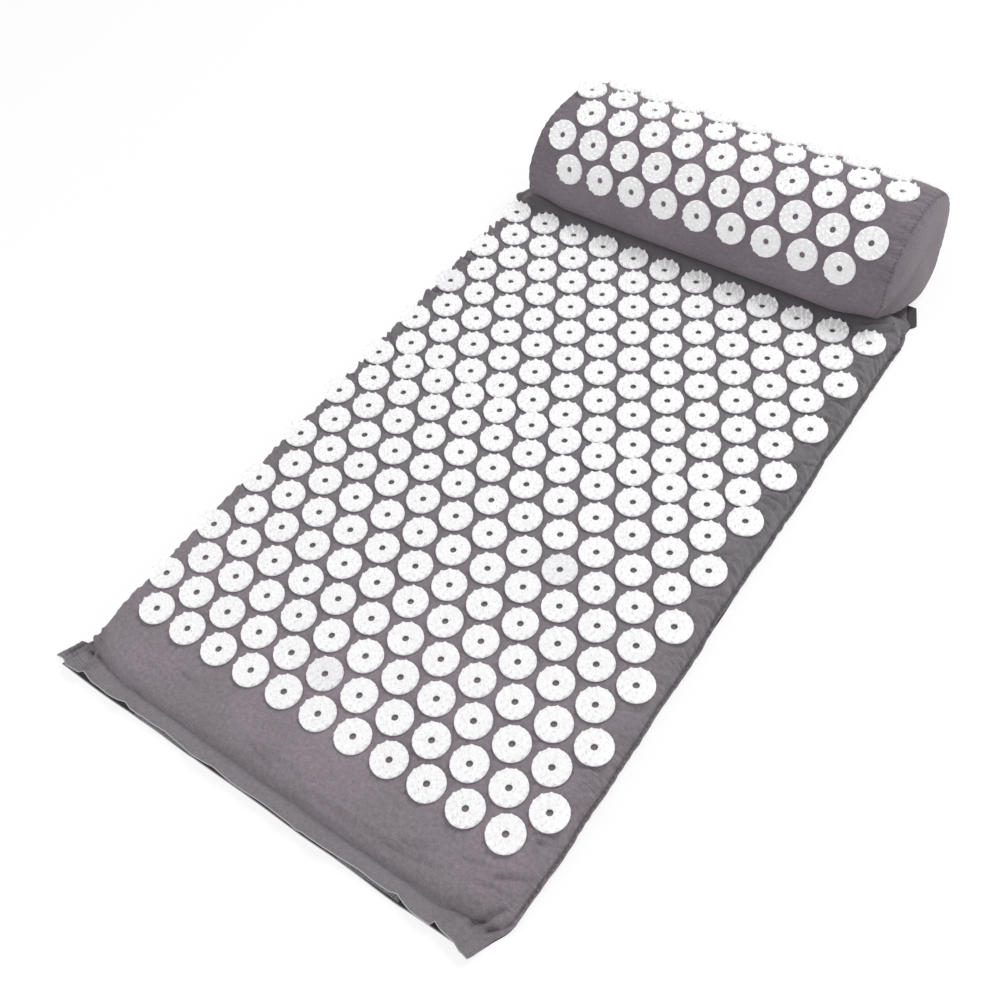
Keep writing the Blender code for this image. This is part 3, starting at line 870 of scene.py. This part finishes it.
def far_fall(beyond):
    share = np.clip(beyond / FAR_RUN, 0.0, 1.0) ** 0.75
    return FAR_FALL * share * share * (3.0 - 2.0 * share)


def near_any(x, middles, inner, outer):
    """1 within the inner distance of any of the middles, fading to 0 at the outer one."""
    total = np.zeros(x.shape)
    for middle in middles:
        total = np.maximum(total, 1.0 - smooth_step(inner, outer, np.abs(x - middle)))
    return total


def near_edge_line(x):
    """Where the upper lip ends, with its pleats and where the tapes hold it back."""
    line = -NEAR_EDGE + 0.0008 * swells(x, 0.0, 5, 0.060) + 0.0004 * swells(x, 0.0, 15, 0.015)
    for place, depth, length in PLEATS:
        past = (x - place) / length
        line = line + depth * smooth_step(-0.12, 0.0, past) * np.exp(-np.clip(past, 0.0, None) * 2.2)
    line = line + TAPE_HOLD * near_any(x, TAPE_MIDDLES, 0.018, 0.034)
    return line - TIP_REACH * smooth_step(0.176, 0.187, x) + CORNER_CUT * smooth_step(0.206, 0.221, -x)


def drawn_to(size, start, half, end):
    """Reach across a cloth, stretched beyond the start so that its edge, half across, meets the end."""
    share = np.clip((size - start) / (half - start), 0.0, 1.0)
    return mix(np.minimum(size, start), end, share)


def lay_mat_plan(reach, along):
    """Places of the cover's cloth in plan, how far it has fallen, and where the flange lies."""
    left = reach < 0.0
    side, size = np.sign(reach), np.abs(reach)
    out, side_drop, flange = side_profile(size, left)
    out = out + 0.0010 * swells(along, side, 11, 0.060) * smooth_step(0.192, 0.206, size)
    out = out + 0.00030 * swells(along, side, 13, 0.011) * flange
    near = smooth_step(*NEAR_TURN, -along)
    far = smooth_step(*FAR_TURN, along)
    near_left = drawn_to(size, NEAR_LEFT_START, HALF_REACH, np.interp(-along, *NEAR_LEFT))
    near_right = drawn_to(size, CORNER_START, HALF_REACH, np.interp(-along, *NEAR_RIGHT))
    far_left = drawn_to(size, CORNER_START, HALF_REACH, np.interp(along, *FAR_LEFT))
    far_right = drawn_to(size, CORNER_START, HALF_REACH, np.interp(along, *FAR_RIGHT_TOP))
    x_left = mix(mix(out, near_left, near), far_left, smooth_step(*FAR_LEFT_TURN, along))
    x_right = mix(mix(out, near_right, near), far_right, far)
    crowd = smooth_step(0.150, 0.203, size)
    near_drop = near_fall(-along - FLAT_END, mix(NEAR_RUN, NEAR_RUN_CORNER, crowd))
    end_drop = near_drop + far_fall(along - FLAT_END)
    drop = (side_drop ** 4 + end_drop ** 4) ** 0.25
    near_limit = mix(WALL_FOOT, NEAR_FALL + VALLEY_DIP, near)
    limit = np.where(along > 0.0, mix(WALL_FOOT, FAR_FALL, far), near_limit)
    return np.where(left, -x_left, x_right), np.minimum(drop, limit), near, far, flange


def side_gathers(reach, along):
    """Short creases across the long margins, where the side seams pull the cloth."""
    total = np.zeros(reach.shape)
    for side, seed in ((1.0, 21), (-1.0, 22)):
        draw = np.random.default_rng(seed)
        place = GATHER_START
        while place < GATHER_END:
            lean = draw.normal(0.35, 0.45)
            width = draw.uniform(0.0016, 0.0030)
            strength = 0.55 + 0.65 * float(smooth_step(-0.20, 0.10, place))
            rise = draw.uniform(0.0010, 0.0030) * strength
            start = draw.uniform(0.168, 0.190)
            bend = 3.0 * draw.normal(0.0, 1.0)
            past = side * reach - GATHER_PIVOT
            off = (along - place - lean * past - bend * past ** 2) / width
            body = bell(off, 1.0) - 0.8 * bell(off - 1.7, 1.0)
            total += rise * body * smooth_step(start, start + 0.012, side * reach)
            place += draw.uniform(0.003, 0.010)
    return total


def end_folds(x, y):
    """The folds of the plain band and of the corners beyond the foam."""
    total = np.zeros(x.shape)
    for fold in FOLDS:
        total += crease(x, y, *(MM * value for value in fold))
    return total


def disc_hills(x, y, centres):
    """How free the cloth is of the discs, which hold it down, and how it puffs up between them."""
    nearest = np.full(x.shape, 1.0)
    for cx, cy in centres:
        nearest = np.minimum(nearest, np.hypot(x - cx, y - cy))
    free = smooth_step(HELD_REACH, FREE_REACH, nearest)
    fade = 1.0 - 0.6 * smooth_step(0.018, 0.034, nearest)
    return free, PUFF * free * fade


def scallops(x, y, centres):
    """How far the left edge is drawn in beside the discs that sit over it."""
    total = np.zeros(x.shape)
    for cx, cy in centres:
        if cx < SCALLOP_COLUMN:
            total = np.maximum(total, bell(y - cy, SCALLOP_HALF))
    return SCALLOP_DEPTH * total * smooth_step(0.188, 0.199, -x)


def lip_rise(x, y, along, near):
    """How far the loose upper lip stands off the lower one between its tapes, and its hem."""
    slack = near * smooth_step(0.329, NEAR_EDGE, -along)
    ripple = LIP_RIPPLE * swells(x, 0.3 * y, 8, 0.034) + LIP_STAND
    flat = near_any(x, FLAT_MIDDLES, 0.026, 0.038)
    hem = HEM_RISE * near * bell(along + NEAR_EDGE - HEM_INSET, HEM_HALF)
    return slack * ripple * (1.0 - 0.8 * flat) + hem


def corner_rise(x, reach, along, near):
    """The far left corner's bulge, and the pleats that draw the near right tip together."""
    bulge = BULGE_RISE * bell(along - BULGE_PLACE, BULGE_HALF) * smooth_step(0.203, 0.216, -x)
    pinch = near * smooth_step(0.160, 0.195, x)
    pleats = np.sin((np.abs(reach) - 0.16) * 2.0 * math.pi / TIP_PLEAT_PITCH)
    return bulge + pinch * TIP_PLEAT_RISE * pleats


def make_top_cloth(material, disc_rows):
    """The top panel, from the upper lip over the foam to the far hem, with both side walls."""
    reaches = mirrored(spaced(
        (0.0, 0.160, 0.0064), (0.160, 0.176, 0.0040), (0.176, 0.190, 0.0020),
        (0.190, 0.2130, 0.0014), (0.2130, HALF_REACH, 0.0009)))
    alongs = spaced((-NEAR_EDGE, -0.3415, 0.0006), (-0.3415, -0.300, 0.0012),
                    (-0.300, 0.306, 0.0018), (0.306, FAR_EDGE, 0.002))
    reach, along = np.meshgrid(reaches, alongs)
    x, drop, near, far, flange = lay_mat_plan(reach, along)
    middle = (1.0 - near) * (1.0 - far)
    steep = np.clip(drop / WALL_FOOT, 0.0, 1.0)
    y = along + smooth_step(0.322, NEAR_EDGE, -along) * (near_edge_line(x) + NEAR_EDGE)
    centres = [place for places in disc_rows.values() for place in places]
    free, hills = disc_hills(x, y, centres)
    x = x + scallops(x, y, centres)
    gathers = side_gathers(reach, along) * free * middle
    z = MAT_TOP - drop + lifted(x, y) * (1.0 - steep)
    z = z + hills * (1.0 - smooth_step(0.0, 0.004, drop))
    z = z + gathers * (1.0 - 0.85 * steep)
    z = z - SEAM_GROOVE * bell(flange - 0.18, 0.13) * middle
    sideways = np.clip(gathers, -GATHER_SIDEWAYS, GATHER_SIDEWAYS) * np.sqrt(steep) * (1.0 - steep ** 4)
    x = x + np.sign(reach) * sideways
    z = z + end_folds(x, y)
    z = z + BAND_SWELL * swells(x, y, 3, 0.045) * smooth_step(0.270, 0.300, -along)
    z = z + lip_rise(x, y, along, near) + corner_rise(x, reach, along, near)
    points = np.stack([x, y, z], axis=-1)
    sheet = lay_grid("mat_top_cloth", points, np.stack([reach, along], axis=-1), material)
    give_thickness(sheet)
    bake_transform(sheet)
    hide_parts("mat_top_cover", "hem_upper_lip")


def make_bottom_cloth(material):
    """The plain underside, whose near end is the lower lip."""
    reaches = mirrored(spaced((0.0, 0.198, 0.006), (0.198, UNDER_HALF, 0.0012)))
    alongs = spaced(
        (-LOWER_EDGE, -0.300, 0.0018), (-0.300, 0.300, 0.006), (0.300, FAR_EDGE, 0.003))
    reach, along = np.meshgrid(reaches, alongs)
    side, size = np.sign(reach), np.abs(reach)
    near = smooth_step(*UNDER_NEAR_TURN, -along)
    far = smooth_step(*UNDER_FAR_TURN, along)
    near_left = np.interp(-along, *NEAR_LEFT) - 0.0075
    near_right = np.minimum(np.interp(-along, *NEAR_RIGHT) + 0.001, 0.2075)
    far_right = np.interp(along, *FAR_RIGHT_UNDER) - 0.0008
    near_left, near_right, far_left, far_right = (
        drawn_to(size, CORNER_START, UNDER_HALF, end)
        for end in (near_left, near_right, UNDER_FAR_LEFT, far_right))
    x_left = mix(mix(size, near_left, near), far_left, far)
    x_right = mix(mix(size, near_right, near), far_right, far)
    x = np.where(side < 0.0, -x_left, x_right)
    wander = 0.0009 * swells(along, side, 12, 0.055)
    x = x + side * wander * smooth_step(0.200, UNDER_HALF, size) * (1.0 - near)
    edge = smooth_step(0.325, LOWER_EDGE, -along)
    held = near_any(x, TAPE_MIDDLES, 0.026, 0.036)
    y = along + edge * (0.0006 * swells(x, 0.0, 6, 0.060) + 0.0004 * (1.0 - held))
    lift = smooth_step(0.200, 0.205, size) * UNDER_LIFT * (1.0 - near) * (1.0 - far)
    ripple = np.clip(0.0007 * swells(x, 0.0, 9, 0.050), 0.0, None)
    z = CLOTH + 0.0001 + lift + smooth_step(0.335, LOWER_EDGE, -along) * ripple
    points = np.stack([x, y, z], axis=-1)
    sheet = lay_grid("mat_bottom_cloth", points, np.stack([reach, along], axis=-1), material)
    give_thickness(sheet)
    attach(sheet, "mat")
    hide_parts("mat_bottom_cover")


def make_stitches(name, path, ups, width, material, body):
    """A row of sewn stitches along a path, each a small pointed loaf of thread."""
    gone = distances(path)
    points, faces = [], []
    for start in np.arange(STITCH_PITCH / 2, gone[-1] - STITCH_LENGTH, STITCH_PITCH):
        tail = point_at(start, gone, path)
        head = point_at(start + STITCH_LENGTH, gone, path)
        run = unit(head - tail)
        across = unit(np.cross(point_at(start, gone, ups), run))
        rise = np.cross(run, across)
        ring = [across * width, rise * width * 1.2, -across * width, -rise * width]
        first = len(points)
        points.append(tail - rise * width)
        for end in (tail, head):
            centre = mix(end, (tail + head) / 2, 0.45)
            points.extend(centre + 0.85 * offset for offset in ring)
        points.append(head - rise * width)
        for step in range(4):
            after = (step + 1) % 4
            faces.append((first, first + 1 + after, first + 1 + step))
            faces.append((first + 1 + step, first + 1 + after, first + 5 + after, first + 5 + step))
            faces.append((first + 5 + step, first + 5 + after, first + 9))
    thread = build_mesh(name, points, faces, material)
    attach(thread, body)


def make_side_stitching(material):
    """The seam of each long side, sewn through the flange."""
    along = np.linspace(-SIDE_SEAM_END, SIDE_SEAM_END, 301)
    ups = np.tile([0.0, 0.0, 1.0], (len(along), 1))
    for side, name in ((-1.0, "side_seam_stitches_left"), (1.0, "side_seam_stitches_right")):
        reach = np.full(along.shape, side * (HALF_REACH - SIDE_SEAM_INSET))
        x, drop = lay_mat_plan(reach, along)[:2]
        path = np.stack([x, along, MAT_TOP - drop + STITCH_PROUD], axis=-1)
        make_stitches(name, path, ups, SIDE_STITCH_WIDTH, material, "mat")


def stands_up(edge):
    return abs(edge.verts[0].co.z - edge.verts[1].co.z) > 0.01


def make_mat_foam(material):
    """The slab inside the cover."""
    low, high = (Vector(corner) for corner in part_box("mat_foam"))
    size = high - low - Vector(SLAB_EASE)
    deselect()
    bpy.ops.mesh.primitive_cube_add(size=1.0, location=(low + high) / 2, scale=size)
    slab = named(bpy.context.object, "mat_foam_slab", material)
    bpy.ops.object.transform_apply(location=True, rotation=True, scale=True)
    bpy.ops.object.mode_set(mode="EDIT")
    bevel_edges(slab, stands_up, SLAB_CORNER, 6)
    bevel_edges(slab, lambda edge: edge.calc_face_angle(0.0) > 1.2, SLAB_EDGE, 3)
    bpy.ops.object.mode_set(mode="OBJECT")
    smooth_below(slab, 40.0)
    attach(slab, "mat")
    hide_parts("mat_foam")


# Pillow, in its own axes: x along it, depth from front to back, height from the arch's middle

def pillow_section():
    """Points round the section, as depth and height, from the front of its base over the arch."""
    centre = PILLOW_DROP - PILLOW_CORNER
    reach = math.sqrt((PILLOW_RADIUS - PILLOW_CORNER) ** 2 - centre ** 2)
    dip = math.atan2(centre, reach)
    points = [(-reach, -PILLOW_DROP)]
    for depth, height, radius, start, end, steps in (
            (-reach, -centre, PILLOW_CORNER, -math.pi / 2, dip - math.pi, CORNER_STEPS),
            (0.0, 0.0, PILLOW_RADIUS, math.pi + dip, -dip, ARCH_STEPS),
            (reach, -centre, PILLOW_CORNER, -dip, -math.pi / 2, CORNER_STEPS)):
        for step in range(1, steps + 1):
            angle = mix(start, end, step / steps)
            points.append((depth + radius * math.cos(angle), height + radius * math.sin(angle)))
    for step in range(1, BASE_STEPS):
        points.append((mix(reach, -reach, step / BASE_STEPS), -PILLOW_DROP))
    return np.array(points)


def seam_reach(side, depth, height):
    """How far out the end seam lies round the section."""
    if side < 0:
        return PILLOW_HALF + np.interp(height, *LEFT_SEAM)
    low = smooth_step(-0.014, 0.033, -height)
    front = smooth_step(0.020, 0.060, -depth)
    hang = 0.008 * bell(depth - 0.012, 0.046)
    under = front * smooth_step(0.004, PILLOW_DROP, -height)
    return PILLOW_HALF + 0.0045 + low * (0.002 * front + hang) - 0.0085 * under


def puckers(around, seed, pitch):
    """Uneven gathers along a seam, from 0 to 1."""
    draw = np.random.default_rng(seed)
    place, total = 0.0, np.zeros(around.shape)
    while place < around.max():
        width = draw.uniform(0.17, 0.30) * pitch
        total += draw.uniform(0.35, 1.0) * bell(around - place, width)
        place += draw.uniform(0.6, 1.5) * pitch
    return total


def held_by_discs(x, angle, radius):
    """The skin's radius, drawn flat under each disc."""
    seat = np.zeros(len(angle))
    hold = np.zeros(len(angle))
    for row in range(PILLOW_ROWS):
        row_angle, places = pillow_row_places(row)
        gap = min(abs(x - place) for place in places)
        off = np.hypot(gap, PILLOW_RADIUS * (angle - row_angle))
        weight = 1.0 - smooth_step(SEAT_REACH, SEAT_FREE_REACH, off)
        flat = (DISC_SEAT - SEAT_SINK) / np.cos(np.clip(angle - row_angle, -0.5, 0.5))
        seat = np.where(weight > hold, flat, seat)
        hold = np.maximum(hold, weight)
    return mix(radius, np.where(hold > 0.0, seat, radius), hold)


def front_swell(x, side):
    """How far the lower front swells out: its belly, less the tuck beside each end."""
    belly = mix(0.0052, 0.0028, smooth_step(-0.12, 0.12, x))
    tuck = 0.004 if side > 0 else -0.002
    return belly * (1.0 - smooth_step(0.140, 0.178, abs(x))) - tuck * smooth_step(0.145, 0.186, abs(x))


def seam_pull(x, side, around):
    """How far the skin is drawn in beside an end seam, with its gathers."""
    gap = PILLOW_HALF - abs(x)
    gathers = puckers(around, 31 if side > 0 else 32, SEAM_PUCKER_PITCH)
    share = (0.35 + 0.65 * (1.0 - bell(gap, 0.0035))) * math.exp(-gap / 0.0100)
    return SEAM_PUCKER_DEPTH * gathers * share + SEAM_DIP * bell(gap, 0.0014)


def pillow_rings():
    """The skin as rings of points along the pillow, and the distances round one ring."""
    section = pillow_section()
    depth, height = section.T
    around = distances(section)
    angle = np.arctan2(height, depth)
    angle = np.where(angle < -math.pi / 2 - 0.3, angle + 2.0 * math.pi, angle)
    on_arch = smooth_step(-0.030, -0.012, height)
    front_corner = bell(depth + 0.058, 0.022) * bell(height + 0.027, 0.020)
    rings = []
    for x in spaced((-PILLOW_HALF, -0.160, 0.00125), (-0.160, 0.160, 0.0025),
                    (0.160, PILLOW_HALF, 0.00125)):
        side = -1.0 if x < 0 else 1.0
        size = np.interp(abs(x) / PILLOW_HALF, SIZE_PLACES, SIZE_LEFT if x < 0.0 else SIZE_RIGHT)
        d = depth * size
        h = -PILLOW_DROP + (height + PILLOW_DROP) * size
        radius = np.hypot(d, h)
        puffed = radius + on_arch * ARCH_PUFF * (1.0 - smooth_step(0.160, 0.182, abs(x)))
        scale = held_by_discs(x, angle, puffed) / radius
        push = front_swell(x, side) * front_corner
        d = d * scale - 0.80 * push
        h = h * scale - 0.60 * push
        pull = seam_pull(x, side, around)
        length = np.hypot(d, h + PULL_CENTRE)
        d, h = d - pull * d / length * on_arch, h - pull * (h + PULL_CENTRE) / length * on_arch
        out = seam_reach(side, depth, height) - PILLOW_HALF
        place = x + side * out * smooth_step(0.150, PILLOW_HALF, abs(x))
        rings.append(np.stack([place, d, h], axis=-1))
    return rings, around


def end_rings(rim, side, around):
    """Rings of one swollen end, from just inside the seam to its middle."""
    inner, fullness, seed = (0.0035, 0.0060, 33) if side > 0 else (-0.0020, 0.0080, 34)
    middle_depth = rim[:, 1].mean() * 0.3
    middle_height = (PILLOW_RADIUS - PILLOW_DROP) / 2 - 0.002
    gathers = puckers(around, seed, END_PUCKER_PITCH)
    rings = []
    for share in END_RING_SHARES:
        height = middle_height + (rim[:, 2] - middle_height) * share
        swell = fullness * (1.0 - share ** 3.2) ** 0.8 * (1.0 - 0.5 * smooth_step(0.0, 0.030, -height))
        x = mix(PILLOW_HALF + inner, side * rim[:, 0], share ** 1.5) + swell
        gap = (1.0 - share) * 0.06
        x = x - END_PUCKER_DEPTH * gathers * math.exp(-gap / 0.0055)
        depth = middle_depth + (rim[:, 1] - middle_depth) * share
        rings.append(np.stack([side * x, depth, height], axis=-1))
    return rings


def make_pillow_cloth(material, pose):
    """The pillow's whole skin: arch, base and both ends. Its rings are given back for the seams."""
    rings, around = pillow_rings()
    left = end_rings(rings[0], -1.0, around)
    right = end_rings(rings[-1], 1.0, around)
    chain = left[::-1] + rings + right
    count = len(around)
    faces = []
    for level in range(len(chain) - 1):
        start = level * count
        for step in range(count):
            after = (step + 1) % count
            faces.append((start + step, start + count + step, start + count + after, start + after))
    first = len(chain) * count
    last = first - count
    for step in range(count):
        after = (step + 1) % count
        faces.append((first, step, after))
        faces.append((first + 1, last + after, last + step))
    points = np.concatenate(chain + [[chain[0].mean(axis=0), chain[-1].mean(axis=0)]])
    wrap = np.concatenate([np.tile(around, len(chain)), [0.0, 0.0]])
    outward = np.maximum(np.abs(points[:, 0]) - PILLOW_HALF, 0.0)
    on_end = np.ones(len(points), dtype=bool)
    on_end[len(left) * count:(len(left) + len(rings)) * count] = False
    u = np.where(on_end, points[:, 1] + outward, points[:, 0])
    v = np.where(on_end, points[:, 2], wrap)
    posed = [pose @ Vector(point) for point in points]
    cushion = build_mesh("pillow_cloth", posed, faces, material)
    cushion.data.uv_layers.new(name="UVMap")
    lay_uv(cushion.data, np.stack([u, v], axis=-1))
    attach(cushion, "pillow")
    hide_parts("pillow_cover", "pillow_base", "pillow_end_left", "pillow_end_right")
    return rings


def make_pillow_stitching(material, pose, rings):
    """Stitches along both end seams, over the arch."""
    over_arch = slice(6, ARCH_STEPS + 14)
    for ring, name in ((rings[1], "pillow_seam_stitches_left"), (rings[-2], "pillow_seam_stitches_right")):
        seam = [pose @ Vector(point) for point in ring[over_arch]]
        centre = pose @ Vector((ring[0][0], 0.0, 0.0))
        ups = [(point - centre).normalized() for point in seam]
        path = np.array([point + STITCH_PROUD * up for point, up in zip(seam, ups)])
        make_stitches(name, path, np.array(ups), END_STITCH_WIDTH, material, "pillow")


def make_pillow_foam(material, pose):
    """The half-round block inside the pillow's cover."""
    deselect()
    bpy.ops.mesh.primitive_cylinder_add(
        vertices=BLOCK_SIDES, radius=PILLOW_RADIUS - BLOCK_EASE,
        depth=2.0 * PILLOW_HALF - BLOCK_END_EASE, rotation=(0.0, math.pi / 2, 0.0))
    block = named(bpy.context.object, "pillow_foam_block", material)
    bpy.ops.object.transform_apply(location=True, rotation=True, scale=True)
    bpy.ops.object.mode_set(mode="EDIT")
    bpy.ops.mesh.select_all(action="SELECT")
    bpy.ops.mesh.bisect(
        plane_co=(0.0, 0.0, BLOCK_FOOT_EASE - PILLOW_DROP), plane_no=(0.0, 0.0, -1.0),
        use_fill=True, clear_outer=True)
    bevel_edges(block, lambda edge: edge.calc_face_angle(0.0) > 0.6, BLOCK_EDGE, 4)
    bpy.ops.object.mode_set(mode="OBJECT")
    block.data.transform(pose)
    smooth_below(block, 35.0)
    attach(block, "pillow")
    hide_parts("pillow_core")


# Camera, floor and light

def set_camera():
    data = bpy.data.cameras.new("view")
    data.lens = CAMERA_LENS
    data.sensor_width = CAMERA_SENSOR
    data.clip_start = 0.01
    camera = bpy.data.objects.new("view", data)
    right, up = Vector(CAMERA_RIGHT).normalized(), Vector(CAMERA_UP).normalized()
    back = right.cross(up).normalized()
    turn = Matrix((right, back.cross(right), back)).transposed()
    camera.matrix_world = Matrix.Translation(CAMERA_PLACE) @ turn.to_4x4()
    bpy.context.scene.collection.objects.link(camera)
    bpy.context.scene.camera = camera


def add_lamp(name, place, aim, size, power):
    data = bpy.data.lights.new(name, "AREA")
    data.shape = "DISK"
    data.size = size
    data.energy = power
    lamp = bpy.data.objects.new(name, data)
    turn = (Vector(aim) - Vector(place)).to_track_quat("-Z", "Y").to_matrix()
    lamp.matrix_world = Matrix.Translation(place) @ turn.to_4x4()
    bpy.context.scene.collection.objects.link(lamp)


def mix_shaders(tree, share, first, second, output):
    """The first shader where the share is 0 and the second where it is 1, sent to the output."""
    blend = tree.nodes.new("ShaderNodeMixShader")
    result = tree.nodes.new(output)
    tree.links.new(share, blend.inputs[0])
    tree.links.new(first.outputs[0], blend.inputs[1])
    tree.links.new(second.outputs[0], blend.inputs[2])
    tree.links.new(blend.outputs[0], result.inputs["Surface"])


def set_world():
    """Even light all round, of which the camera and the gloss see a plain pale grey."""
    world = bpy.data.worlds.new("studio")
    bpy.context.scene.world = world
    world.use_nodes = True
    tree = world.node_tree
    tree.nodes.clear()
    rays = tree.nodes.new("ShaderNodeLightPath").outputs
    seen = maths(tree, "MAXIMUM", rays["Is Camera Ray"], rays["Is Glossy Ray"])
    light = tree.nodes.new("ShaderNodeBackground")
    light.inputs["Color"].default_value = (1.0, 1.0, 1.0, 1.0)
    light.inputs["Strength"].default_value = WORLD_STRENGTH
    pale = tree.nodes.new("ShaderNodeBackground")
    mix_shaders(tree, seen, light, pale, "ShaderNodeOutputWorld")


def make_floor():
    """A white floor that shows nearly plain white and keeps a faint shadow."""
    deselect()
    bpy.ops.mesh.primitive_plane_add(size=9.0, location=(0.0, 0.0, -0.0002))
    floor = bpy.context.object
    floor.name = "floor"
    material = bpy.data.materials.new("floor_white")
    material.use_nodes = True
    tree = material.node_tree
    tree.nodes.clear()
    rays = tree.nodes.new("ShaderNodeLightPath").outputs
    matte = tree.nodes.new("ShaderNodeBsdfDiffuse")
    matte.inputs["Color"].default_value = (*FLOOR_WHITE, 1.0)
    glow = tree.nodes.new("ShaderNodeEmission")
    share = maths(tree, "MULTIPLY", rays["Is Camera Ray"], FLOOR_GLOW)
    mix_shaders(tree, share, matte, glow, "ShaderNodeOutputMaterial")
    floor.data.materials.append(material)


def light_scene():
    set_world()
    add_lamp("key", (0.50, 1.40, 2.05), (0.0, 0.05, 0.0), 0.9, KEY_POWER)
    add_lamp("fill", (-0.50, -1.80, 1.50), (0.0, 0.0, 0.0), 2.0, FILL_POWER)
    add_lamp("right_fill", (2.00, -0.30, 1.20), (0.0, 0.0, 0.0), 1.6, RIGHT_FILL_POWER)
    bpy.context.scene.view_settings.view_transform = "Standard"


def main():
    set_camera()
    groups = make_weave_group(), make_dye_group(), make_gather_group()
    top_cotton = make_cotton(
        "grey_cotton_mat", MAT_COTTON, groups, gathers=MAT_GATHERS, lip_tone_and_field_shade=True, hem=NEAR_EDGE)
    # The underside's near-black cotton is a painted shade for the shadow under the lip and at the corners
    under_cotton_painted_shade = make_cotton("underside_cotton_painted_shade", UNDER_COTTON_PAINTED_SHADE, groups, hem=LOWER_EDGE)
    pillow_cotton = make_cotton("grey_cotton_pillow", PILLOW_COTTON, groups, gathers=PILLOW_GATHERS)
    plastic = make_plastic("white_disc_plastic")
    tape = make_cells("closure_tape_hooks", 0.7, 900.0, TAPE_LIT_AND_SHADED_TONES, hooked=True)
    foam = make_cells("open_cell_foam", 0.95, 700.0, FOAM_LIT_AND_SHADED_TONES, hooked=False)
    thread = make_thread("seam_thread", THREAD_DARK)
    joints = {joint["name"]: joint for joint in frame["record"]["behaviour"]["joints"]}
    pose = (Matrix.Translation(joints["pillow_lift"]["pos_m"]) @ Matrix.Rotation(-PILLOW_LEAN, 4, "X")
            @ Matrix.Rotation(PILLOW_YAW, 4, "Z"))
    nodes = [f"mat_disc_row_{number:02d}" for number in range(1, MAT_ROWS + 1)]
    disc_rows = {node: mat_row_places(node) for node in nodes}
    make_discs(plastic, pose, disc_rows)
    make_top_cloth(top_cotton, disc_rows)
    make_bottom_cloth(under_cotton_painted_shade)
    make_side_stitching(thread)
    make_mat_foam(foam)
    rings = make_pillow_cloth(pillow_cotton, pose)
    make_pillow_stitching(thread, pose, rings)
    make_pillow_foam(foam, pose)
    for node in ("hook_patch_left", "hook_patch_right", "loop_patch_left", "loop_patch_right"):
        for slot in bpy.data.objects[node].material_slots:
            slot.material = tape
    make_floor()
    light_scene()


main()
